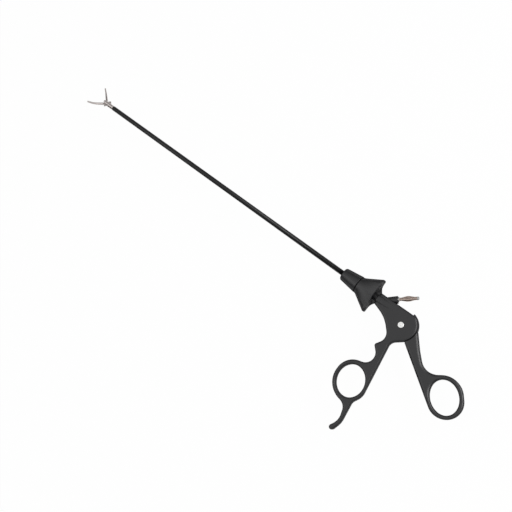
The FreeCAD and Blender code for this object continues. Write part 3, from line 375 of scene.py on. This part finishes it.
def rounded(corners, easing, steps=5):
    """Round the corners of a profile: points of x and radius, with one easing each."""
    smooth = []
    count = len(corners)
    for index, corner in enumerate(corners):
        size = easing[index]
        here = np.array(corner, float)
        before = np.array(corners[index - 1], float)
        after = np.array(corners[(index + 1) % count], float)
        if size == 0:
            smooth.append(tuple(here))
            continue
        start = here + (before - here) / np.linalg.norm(before - here) * size
        end = here + (after - here) / np.linalg.norm(after - here) * size
        for step in range(steps + 1):
            share = step / steps
            smooth.append(tuple((1 - share) ** 2 * start + 2 * share * (1 - share) * here
                                + share ** 2 * end))
    return smooth


def prism(name, corners, low, high):
    """A plain upright block used as a cutter."""
    shape = bmesh.new()
    bottom = [shape.verts.new((x * MM, y * MM, low * MM)) for x, y in corners]
    top = [shape.verts.new((x * MM, y * MM, high * MM)) for x, y in corners]
    shape.faces.new(bottom[::-1])
    shape.faces.new(top)
    for index in range(len(corners)):
        after = (index + 1) % len(corners)
        shape.faces.new([bottom[index], bottom[after], top[after], top[index]])
    bmesh.ops.recalc_face_normals(shape, faces=shape.faces)
    return to_object(name, shape, nylon)


def carve(piece, steps):
    """Join or cut other shapes with a piece, and leave a plain mesh."""
    for operation, tool in steps:
        modifier = piece.modifiers.new("carve", "BOOLEAN")
        modifier.operation = operation
        modifier.solver = "EXACT"
        modifier.object = tool
    view = bpy.context.evaluated_depsgraph_get()
    result = bpy.data.meshes.new_from_object(piece.evaluated_get(view))
    piece.modifiers.clear()
    piece.data = result
    for operation, tool in steps:
        bpy.data.objects.remove(tool)
    edges_to_sharp(piece, 34)
    return piece


def edges_to_sharp(piece, degrees):
    """Shade smooth, with sharp edges kept where faces meet at more than an angle."""
    piece.data.shade_smooth()
    piece.data.set_sharp_from_angle(angle=math.radians(degrees))


def disc(x, y, radius, count=96):
    """Corners of a circle."""
    angles = [2 * math.pi * step / count for step in range(count)]
    return [(x + radius * math.cos(angle), y + radius * math.sin(angle)) for angle in angles]


def sector(start, end, reach):
    """Corners of a pie piece round the handle pivot, between two angles in degrees."""
    x, y = LEVER
    angles = [math.radians(start + (end - start) * step / 24) for step in range(25)]
    return [LEVER] + [(x + reach * math.cos(angle), y + reach * math.sin(angle)) for angle in angles]


THROUGH = 6
SLOT_HALF = 2.5
CORE_BORE, SLEEVE_ROOM = 1.03, 3.45
CHEEK_SLOT, HUB_ROOM, RIVET_HOLE = (107, 258, 24), 10.6, 2.03
BOSS_DROP = 0.45
FINGER_OVAL = (-65.6, 74.8, 30.2, 26.6, 107.0)
finger = moulding("finger_handle_moulding", [
    (-41.9, -4.1, 1.7, 1), (-41.9, 4.3, 1.7, 1), (-39.0, 38.2, 31.5, -1), (-58.3, 25.8, 9.0, -1),
    (-65.9, 35.0, 2.3, 1), (-61.1, 46.1, 9.1, -1), (-66.3, 72.0, 17.2, 1), (-69.5, 73.6, 20.4, 1),
    (-67.0, 103.0, 9.0, -1), (-63.4, 108.0, 14.0, -1), (-76.9, 117.8, 2.4, 1), (-60.5, 109.0, 20.5, 1),
    (-86.0, 90.5, 7.5, -1), (-67.2, 78.0, 14.9, 1), (-81.7, 28.5, 7.5, -1), (*LEVER, 14.8, 1),
    (-78.2, -3.2, 3.0, 1)], FINGER_OVAL, 1.5, 66)
neck = turned("neck", rounded([
    (-66.0, 2.0), (-66.0, 4.0), (-48.0, 5.6), (-40.1, 5.6), (-40.1, 2.0)],
    (0, 0, 6.0, 0.5, 0)), nylon)
PLUG_PLACE = (Matrix.Translation((-55.5 * MM, -9.9 * MM, 0))
              @ Matrix.Rotation(math.radians(219.2), 4, "Z"))
boss = turned("boss", rounded([
    (-10.0, 0.0), (-10.0, 3.0), (0.3, 3.6), (0.3, CORE_BORE), (-6.0, CORE_BORE), (-6.0, 0.0)],
    (0, 0, 0.4, 0, 0, 0)), nylon, PLUG_PLACE @ Matrix.Translation((0, -BOSS_DROP * MM, 0)))
bore = turned("bore", [(-62.0, 0.0), (-62.0, SLEEVE_ROOM), (-37.0, SLEEVE_ROOM), (-37.0, 0.0)], nylon)
carve(finger, [
    ("UNION", neck), ("UNION", boss), ("DIFFERENCE", bore),
    ("DIFFERENCE", prism("slot", sector(*CHEEK_SLOT), -SLOT_HALF, SLOT_HALF)),
    ("DIFFERENCE", prism("hub_room", disc(*LEVER, HUB_ROOM), -SLOT_HALF, SLOT_HALF)),
    ("DIFFERENCE", prism("rivet_hole", disc(*LEVER, RIVET_HOLE), -THROUGH, THROUGH)),
])
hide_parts("finger_handle")
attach(finger, "root")


# Thumb lever: the second moulding, which turns between the cheeks on a thin hub. A hollow round the
# cheeks parts its thick arm from them, and its tongue closes the gap behind them. A fork in the hub
# holds the rod's ball, with room for the rod to swing.
TONGUE_HALF = 2.2
TONGUE, HUB, BUSH_HOLE = (138, 256, 15.6), 10.0, 3.23
CHEEK_ROOM, SHOULDER_ROOM, SHOULDER_PLACE = 15.55, 4.0, 11.9
ROD_HALF = 1.3
BALL_SEAT = (-70.56, 0.3, 2.05)
BALL_SLOT = [(-68.52, 0.77), (-72.62, 0.77), (-70.83, -8.5), (-66.73, -8.5)]
ROD_PASSAGE = [(-70.5, -8.0), (-52.0, -8.0), (-52.0, 12.9), (-70.5, 1.3)]
lever = moulding("thumb_lever_moulding", [
    (-86.6, 5.0, 1.7, 1), (*LEVER, 2.7, 1), (-141.3, 38.1, 15.6, 1), (-136.6, 36.1, 17.9, 1),
    (-115.0, 12.1, 14.2, -1), (-146.3, -30.4, 66.5, -1)], (-138.7, 36.0, 30.8, 24.6, 138.0), 2.5, 56)
lean = math.radians(TONGUE[0])
shoulder = (LEVER[0] + SHOULDER_PLACE * math.cos(lean), LEVER[1] + SHOULDER_PLACE * math.sin(lean))
carve(lever, [
    ("DIFFERENCE", prism("cheek_room", disc(*LEVER, CHEEK_ROOM), -THROUGH, THROUGH)),
    ("DIFFERENCE", prism("shoulder_room", disc(*shoulder, SHOULDER_ROOM), -THROUGH, THROUGH)),
    ("UNION", prism("tongue", sector(*TONGUE), -TONGUE_HALF, TONGUE_HALF)),
    ("UNION", prism("hub", disc(*LEVER, HUB), -TONGUE_HALF, TONGUE_HALF)),
    ("DIFFERENCE", prism("ball_slot", BALL_SLOT, -5, 5)),
    ("DIFFERENCE", prism("ball_seat", disc(*BALL_SEAT), -5, 5)),
    ("DIFFERENCE", prism("rod_passage", ROD_PASSAGE, -ROD_HALF, ROD_HALF)),
    ("DIFFERENCE", prism("bush_hole", disc(*LEVER, BUSH_HOLE), -THROUGH, THROUGH)),
])
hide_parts("thumb_handle")
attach(lever, "lever")


# Shaft insulation: black heat-shrink sleeve over the steel tube, with a rounded front edge. It is
# smooth, with a soft gloss and faint draw lines along the shaft.
SHAFT_LENGTH, SLEEVE_RADIUS, SLEEVE_BORE, SOCKET_RADIUS = 329.0, 2.5, 2.1, 2.3
sleeve_plastic, tree = new_material("black_shrink_sleeve")
place = add(tree, "ShaderNodeTexCoord")
along = add(tree, "ShaderNodeMapping", None, {"Vector": place.outputs["Object"]}, Scale=(0.1, 1, 1))
waves = add(tree, "ShaderNodeTexNoise", None, {"Vector": along.outputs[0]}, Scale=700.0, Detail=2.0)
gloss = add(tree, "ShaderNodeMapRange", None, {"Value": waves.outputs[0]}, To_Min=0.28, To_Max=0.42)
bump = add(tree, "ShaderNodeBump", None, {"Height": waves.outputs[0]}, Strength=0.2, Distance=0.00003)
shader = add(tree, "ShaderNodeBsdfPrincipled", None,
             {"Roughness": gloss.outputs[0], "Normal": bump.outputs[0]},
             IOR=1.5, Specular_IOR_Level=0.35)
shader.inputs["Base Color"].default_value = linear("#101011")
add(tree, "ShaderNodeOutputMaterial", None, {"Surface": shader.outputs[0]})
sleeve = turned("shrink_sleeve", rounded([
    (-12.0, SLEEVE_BORE), (-12.0, SOCKET_RADIUS), (0.03, SOCKET_RADIUS), (0.03, SLEEVE_RADIUS),
    (SHAFT_LENGTH, SLEEVE_RADIUS), (SHAFT_LENGTH, SLEEVE_BORE)],
    (0, 0, 0, 0, 0.25, 0)), sleeve_plastic)
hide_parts("insulation_sheath")
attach(sleeve, "rotor")


# Handle pivot: a turned steel rivet through both cheeks. It has a polished, dimpled head in front and
# a separate cap on its far end.
def metal(name, pale, dark, scale, low, high, stretch=(1, 1, 1), lift=0.00001):
    """Turned, drawn or ground metal, whose tint and gloss follow a stretched grain."""
    made, tree = new_material(name)
    place = add(tree, "ShaderNodeTexCoord")
    along = add(tree, "ShaderNodeMapping", None, {"Vector": place.outputs["Object"]}, Scale=stretch)
    grain = add(tree, "ShaderNodeTexNoise", None, {"Vector": along.outputs[0]},
                Scale=scale, Detail=4.0)
    tint = add(tree, "ShaderNodeMix", {"data_type": "RGBA"}, {0: grain.outputs[0]},
               s6=linear(dark), s7=linear(pale))
    gloss = add(tree, "ShaderNodeMapRange", None, {"Value": grain.outputs[0]},
                To_Min=low, To_Max=high)
    bump = add(tree, "ShaderNodeBump", None, {"Height": grain.outputs[0]},
               Strength=0.3, Distance=lift)
    shader = add(tree, "ShaderNodeBsdfPrincipled", None,
                 {"Base Color": tint.outputs[2], "Roughness": gloss.outputs[0],
                  "Normal": bump.outputs[0]}, Metallic=1.0)
    add(tree, "ShaderNodeOutputMaterial", None, {"Surface": shader.outputs[0]})
    return made


# Bright steel that mirrors the white surround, with a fine turned grain.
pin_metal = metal("turned_polished_steel", "#F6F6F4", "#DCDCDA", 2500.0, 0.14, 0.24)
RIVET_PLACE = (Matrix.Translation((LEVER[0] * MM, LEVER[1] * MM, 0))
               @ Matrix.Rotation(math.radians(-90), 4, "Y"))
rivet = turned("rivet", rounded([
    (-4.8, 0.0), (-4.8, 2.0), (4.45, 2.0), (4.45, 2.85), (5.2, 2.85), (5.2, 0.9), (4.95, 0.0)],
    (0, 0, 0, 0, 0.45, 0.3, 0)), pin_metal, RIVET_PLACE)
rivet_cap = turned("rivet_far_head", rounded([
    (-5.2, RIVET_HOLE), (-5.2, 2.85), (-4.45, 2.85), (-4.45, RIVET_HOLE)],
    (0.1, 0.45, 0, 0)), pin_metal, RIVET_PLACE)
for piece, node in ((rivet, "pivot_rivet"), (rivet_cap, "rivet_cap")):
    edges_to_sharp(piece, 50)
    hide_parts(node)
    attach(piece, "root")


# Front collar: a cone of the same nylon with a rounded nose, fixed on the sleeve. It turns with the
# shaft, and a rubber seal ring fills the seam between it and the knob.
collar = turned("front_collar_cone", rounded([
    (-18.0, 2.36), (-18.0, 8.5), (0.0, 6.15), (0.0, 2.36)], (0, 0.4, 1.7, 0.3)), nylon)
edges_to_sharp(collar, 50)
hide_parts("front_collar")
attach(collar, "rotor")


# Rotation knob: three wings that rise in one curve from the seam, with hollows between them and a
# dished back. It is moulded of the same nylon, with soft edges, for a gloved finger to turn.
KNOB_FRONT, KNOB_BACK = -19.0, -39.5
CREST, VALLEY, WING_ROUND, HOLLOW = 19.2, 11.2, 4.8, 9.0
KNOB_ROLL = 25.0
SEAM_RADIUS, FLARE_END = 8.4, -37.1
DISH_SLOPE = 0.28
RIM_LEAST, RIM_MORE = 0.6, 1.5
WALL_STEPS, BACK_STEPS = 46, 8
wing_discs = []
for wing in range(3):
    for place, reach, radius, turn in ((wing, CREST - WING_ROUND, WING_ROUND, 1),
                                       (wing + 0.5, VALLEY + HOLLOW, HOLLOW, -1)):
        angle = math.radians(KNOB_ROLL + 120 * place)
        wing_discs.append((reach * math.cos(angle), reach * math.sin(angle), radius, turn))
wing_line, _ = belt_points(wing_discs, 0.2)
wing_angles = np.degrees(np.arctan2(wing_line[:, 1], wing_line[:, 0]))
wing_reach = np.linalg.norm(wing_line, axis=1)
flare, _ = belt_points([(-19.4, 3.9, 0.4, 1), (-19.4, 8.3, 0.4, 1), (-19.5, 9.7, 1.0, -1),
                        (FLARE_END, 17.2, 2.0, 1), (FLARE_END, 3.9, 0.4, 1)], 0.2)
flare = flare[flare[:, 1] > SEAM_RADIUS]
flare = flare[np.argsort(flare[:, 0])]
shape = bmesh.new()
grid = []
for angle in np.arange(0, 360, 1.0):
    wing = np.interp(angle, wing_angles, wing_reach, period=360)
    rim_x = KNOB_BACK + (CREST - wing) * DISH_SLOPE
    x = KNOB_FRONT + (rim_x - KNOB_FRONT) * np.linspace(0, 1, 44)
    top = np.where(x < FLARE_END, CREST, np.interp(x, flare[:, 0], flare[:, 1]))
    outer = SEAM_RADIUS + (top - SEAM_RADIUS) * (wing - SEAM_RADIUS) / (CREST - SEAM_RADIUS)
    ease = RIM_LEAST + RIM_MORE * np.clip((outer[-1] - 9) / 10, 0, 1)
    keep = x > rim_x + ease
    wall = list(zip(x[keep], outer[keep]))
    after = (rim_x + ease * DISH_SLOPE, outer[-1] - ease)
    wall += rounded([wall[-1], (rim_x, outer[-1]), after], (0, ease * 0.95, 0), 6)[1:-1]
    span = np.linspace(0, len(wall) - 1, WALL_STEPS)
    wall = np.stack([np.interp(span, np.arange(len(wall)), axis) for axis in np.array(wall).T], 1)
    back = [(KNOB_BACK + (CREST - radius) * DISH_SLOPE, radius)
            for radius in np.linspace(outer[-1] - ease, SLEEVE_ROOM, BACK_STEPS)]
    up, out = math.cos(math.radians(angle)), math.sin(math.radians(angle))
    grid.append([shape.verts.new((x * MM, up * radius * MM, out * radius * MM))
                 for x, radius in [*wall, *back, (KNOB_FRONT, SLEEVE_ROOM)]])
for near, far in zip(grid, grid[1:] + grid[:1]):
    for index in range(len(near)):
        after = (index + 1) % len(near)
        shape.faces.new([near[index], near[after], far[after], far[index]])
bmesh.ops.recalc_face_normals(shape, faces=shape.faces)
knob = to_object("knob_moulding", shape, nylon)
edges_to_sharp(knob, 60)
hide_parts("rotation_knob")
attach(knob, "rotor")


# Jaws: ground from surgical steel, bent sideways like a sickle, with rounded backs and fine cross
# teeth on the bite faces. Each has a boss on the pivot pin and a tang behind it.

# Pale steel with a fine ground grain, between satin and bright.
jaw_metal = metal("ground_surgical_steel", "#D6CECB", "#B4ACA9", 1500.0, 0.24, 0.38)


def repeater(name):
    """A node group that repeats the piece it is on along a step and round the X axis."""
    group = bpy.data.node_groups.new(name, "GeometryNodeTree")
    for label, kind in (("Geometry", "NodeSocketGeometry"), ("Count", "NodeSocketInt"),
                        ("Step", "NodeSocketVector"), ("Turn", "NodeSocketFloat"),
                        ("Finish", "NodeSocketMaterial")):
        group.interface.new_socket(label, in_out="INPUT", socket_type=kind)
    group.interface.new_socket("Geometry", in_out="OUTPUT", socket_type="NodeSocketGeometry")
    given = add(group, "NodeGroupInput")
    index = add(group, "GeometryNodeInputIndex")
    move = add(group, "ShaderNodeVectorMath", {"operation": "SCALE"},
               {"Vector": given.outputs["Step"], "Scale": index.outputs[0]})
    turn = add(group, "ShaderNodeMath", {"operation": "MULTIPLY"},
               {0: given.outputs["Turn"], 1: index.outputs[0]})
    round_x = add(group, "ShaderNodeCombineXYZ", None, {"X": turn.outputs[0]})
    points = add(group, "GeometryNodePoints", None,
                 {"Count": given.outputs["Count"], "Position": move.outputs[0]})
    copies = add(group, "GeometryNodeInstanceOnPoints", None,
                 {"Points": points.outputs[0], "Instance": given.outputs["Geometry"],
                  "Rotation": round_x.outputs[0]})
    real = add(group, "GeometryNodeRealizeInstances", None, {"Geometry": copies.outputs[0]})
    painted = add(group, "GeometryNodeSetMaterial", None,
                  {"Geometry": real.outputs[0], "Material": given.outputs["Finish"]})
    add(group, "NodeGroupOutput", None, {"Geometry": painted.outputs[0]})
    return group


def repeat(piece, group, **values):
    """Run a node group on a piece and leave a plain mesh."""
    modifier = piece.modifiers.new("repeat", "NODES")
    modifier.node_group = group
    for item in group.interface.items_tree:
        if item.in_out == "INPUT" and item.name in values:
            modifier[item.identifier] = values[item.name]
    view = bpy.context.evaluated_depsgraph_get()
    result = bpy.data.meshes.new_from_object(piece.evaluated_get(view))
    piece.modifiers.clear()
    piece.data = result
    return piece


def plate(name, discs, low, high, finish, edge=0.12):
    """A flat plate with the outline of a belt round discs and small rounded edges."""
    points, normals = belt_points(discs, 0.12)
    shape = bmesh.new()
    levels = [(edge, low), (edge * 0.3, low + edge * 0.3), (0, low + edge), (0, high - edge),
              (edge * 0.3, high - edge * 0.3), (edge, high)]
    loops = [[shape.verts.new((x * MM, y * MM, height * MM)) for x, y in points - normals * inset]
             for inset, height in levels]
    for near, far in zip(loops, loops[1:]):
        for index in range(len(near)):
            after = (index + 1) % len(near)
            shape.faces.new([near[index], near[after], far[after], far[index]])
    shape.faces.new(loops[0][::-1])
    shape.faces.new(loops[-1])
    bmesh.ops.remove_doubles(shape, verts=shape.verts, dist=1e-8)
    bmesh.ops.recalc_face_normals(shape, faces=shape.faces)
    return to_object(name, shape, finish)


JAW_PIVOT, JAW_ROLL, JAW_OPEN = 342.2, 24.0, 38.0
TEETH, TOOTH_START, TOOTH_PITCH, TOOTH_DEPTH = 17, 4.6, 0.88, 0.28
BLADE_SIDES, BACK_FULLNESS = 25, 0.75
blade_plan, _ = belt_points([(3.0, -1.6, 0.4, 1), (9.22, 19.4, 21.4, 1), (20.3, 1.75, 0.7, 1),
                             (11.43, 15.0, 14.65, -1), (3.0, -0.05, 0.4, 1)], 0.1)
blade_side, _ = belt_points([(3.0, -2.0, 0.4, 1), (20.3, -0.8, 0.7, 1), (3.0, -0.5, 0.4, 1)], 0.1)


def extent(line, x):
    """Lowest and highest place of a closed outline at a distance along it."""
    crossings = []
    for (x0, y0), (x1, y1) in zip(line, np.roll(line, -1, axis=0)):
        if (x0 <= x) != (x1 <= x):
            crossings.append(y0 + (y1 - y0) * (x - x0) / (x1 - x0))
    return min(crossings), max(crossings)


def blade(name):
    """A jaw's blade at negative Y: a flat bite face, a rounded back and a rounded tip."""
    shape = bmesh.new()
    rings = []
    stations = list(np.linspace(2.62, 20.0, 60)) + [20.3, 20.55, 20.75, 20.88, 20.96]
    for x in stations:
        near, far = extent(blade_plan, x)
        back, face = extent(blade_side, x)
        middle, half = (near + far) / 2, (far - near) / 2
        ring = []
        for step in range(BLADE_SIDES):
            angle = math.pi * step / (BLADE_SIDES - 1)
            ring.append((x, face + (back - face) * math.sin(angle) ** BACK_FULLNESS,
                         middle + half * math.cos(angle)))
        rings.append([shape.verts.new(Vector(corner) * MM) for corner in ring])
    for near, far in zip(rings, rings[1:]):
        for index in range(BLADE_SIDES):
            after = (index + 1) % BLADE_SIDES
            shape.faces.new([near[index], near[after], far[after], far[index]])
    shape.faces.new(rings[0])
    shape.faces.new(rings[-1][::-1])
    bmesh.ops.recalc_face_normals(shape, faces=shape.faces)
    return to_object(name, shape, jaw_metal)


rows = repeater("repeat_in_a_row")
for name, side, root_span, tang_span in (("upper", -1, (0.05, 1.25), (0.05, 0.78)),
                                         ("lower", 1, (-1.25, -0.05), (-0.78, -0.05))):
    jaw = blade(name + "_jaw_blade")
    first = TOOTH_START + (TOOTH_PITCH / 2 if side > 0 else 0)
    tooth = bmesh.new()
    ends = [[tooth.verts.new(((first + x) * MM, y * MM, z * MM)) for x, y in (
        (-TOOTH_PITCH / 3, 0.0), (0.0, -TOOTH_DEPTH - 0.1), (TOOTH_PITCH / 3, 0.0))] for z in (-6, 6)]
    tooth.faces.new(ends[0])
    tooth.faces.new(ends[1][::-1])
    for index in range(3):
        after = (index + 1) % 3
        tooth.faces.new([ends[0][index], ends[0][after], ends[1][after], ends[1][index]])
    bmesh.ops.recalc_face_normals(tooth, faces=tooth.faces)
    grooves = repeat(to_object("tooth_grooves", tooth, jaw_metal), rows, Count=TEETH,
                     Step=(TOOTH_PITCH * MM, 0.0, 0.0), Turn=0.0, Finish=jaw_metal)
    root = plate("root", [(0, 0, 1.9, 1), (3.2, -1.4, 0.7, 1)], *root_span, jaw_metal)
    tang = plate("tang", [(-4.806, 1.378, 0.95, 1), (0, 0, 1.5, 1)], *tang_span, jaw_metal)
    carve(jaw, [("DIFFERENCE", grooves), ("UNION", root), ("UNION", tang)])
    if side > 0:
        jaw.data.transform(Matrix.Diagonal((1, -1, 1, 1)))
        jaw.data.flip_normals()
    jaw.data.transform(Matrix.Translation((JAW_PIVOT * MM, 0, 0))
                       @ Matrix.Rotation(math.radians(JAW_ROLL), 4, "X")
                       @ Matrix.Rotation(math.radians(side * JAW_OPEN), 4, "Z"))
    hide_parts(name + "_jaw")
    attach(jaw, name + "_jaw")


# Contact plug: a nickel-plated base ring and nose, turned, with a cage of six sprung bronze strips
# between them. The strips swell in the middle and are held by a hoop at each end.

# Neutral grey nickel with a clear shine, and pale pinkish bronze with a grain along the strips.
nickel = metal("nickel_plate", "#C6C6C4", "#A5A6A6", 2200.0, 0.18, 0.3)
bronze = metal("contact_bronze", "#CDBBB0", "#94837A", 1800.0, 0.26, 0.4, (0.15, 1, 1))
HOOP_RADIUS = 1.6
STRIPS, STRIP_START, STRIP_LENGTH, STRIP_HALF_ANGLE, STRIP_WALL = 6, 2.0, 14.6, 25.0, 0.22
STRIP_REST, STRIP_SWELL = 1.45, 1.1
plug_ring = turned("plug_base_ring", rounded([
    (0.03, CORE_BORE), (0.03, 2.4), (1.3, 2.4), (1.3, CORE_BORE)],
    (0, 0.1, 0.3, 0)), nickel, PLUG_PLACE)
plug_tip = turned("plug_tip", rounded([
    (17.13, 0.0), (17.13, HOOP_RADIUS), (18.5, HOOP_RADIUS), (19.2, 1.0), (19.2, 0.0)],
    (0, 0.12, 0.3, 0.25, 0)), nickel, PLUG_PLACE)
for piece, node in ((plug_ring, "plug_collar"), (plug_tip, "plug_nose")):
    edges_to_sharp(piece, 50)
    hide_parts(node)
    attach(piece, "root")
strip = bmesh.new()
rings = []
angles = [math.radians(a) for a in np.linspace(-STRIP_HALF_ANGLE, STRIP_HALF_ANGLE, 9)]
for share in np.linspace(0, 1, 28):
    x = STRIP_START + STRIP_LENGTH * share
    reach = STRIP_REST + STRIP_SWELL * math.sin(math.pi * share) ** 2
    ring = [(reach, angle) for angle in angles]
    ring += [(reach - STRIP_WALL, angle) for angle in angles[::-1]]
    corners = [(x * MM, radius * MM * math.cos(angle), radius * MM * math.sin(angle))
               for radius, angle in ring]
    rings.append([strip.verts.new(corner) for corner in corners])
for near, far in zip(rings, rings[1:]):
    for index in range(len(near)):
        after = (index + 1) % len(near)
        strip.faces.new([near[index], near[after], far[after], far[index]])
strip.faces.new(rings[0])
strip.faces.new(rings[-1][::-1])
bmesh.ops.recalc_face_normals(strip, faces=strip.faces)
cage = repeat(to_object("contact_strips", strip, bronze), rows, Count=STRIPS, Step=(0.0, 0.0, 0.0),
              Turn=math.radians(360 / STRIPS), Finish=bronze)
cage.data.transform(PLUG_PLACE)
for low, high in ((1.5, 2.2), (16.4, 17.1)):
    hoop = turned("cage_hoop", rounded([
        (low, CORE_BORE), (low, HOOP_RADIUS), (high, HOOP_RADIUS), (high, CORE_BORE)],
        (0, 0.1, 0.1, 0)), bronze, PLUG_PLACE)
    carve(cage, [("UNION", hoop)])
edges_to_sharp(cage, 50)
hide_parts("contact_cage")
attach(cage, "root")


# The remaining pieces are the solids of the assembly as they stand: clevis, pins, links, rod with
# its ball, inner tube, seal, bearing sleeve with its clip, lever bush and plug core.

# Plain grey steel with draw lines along the shaft.
tube_metal = metal("drawn_steel", "#BDBDBC", "#9E9E9E", 1200.0, 0.25, 0.4, (0.1, 1, 1))
FINISH = {
    "moulded_black": nylon, "sheath_black": sleeve_plastic, "seal_rubber": sleeve_plastic,
    "jaw_steel": jaw_metal, "tube_steel": tube_metal, "pin_steel": pin_metal,
    "bearing_plastic": nylon, "contact_bronze": bronze, "plug_nickel": nickel,
}
for subpart in frame["record"]["subparts"]:
    piece = nodes[subpart["node"]]
    piece.data.materials.clear()
    piece.data.materials.append(FINISH[subpart["material_slot"]])
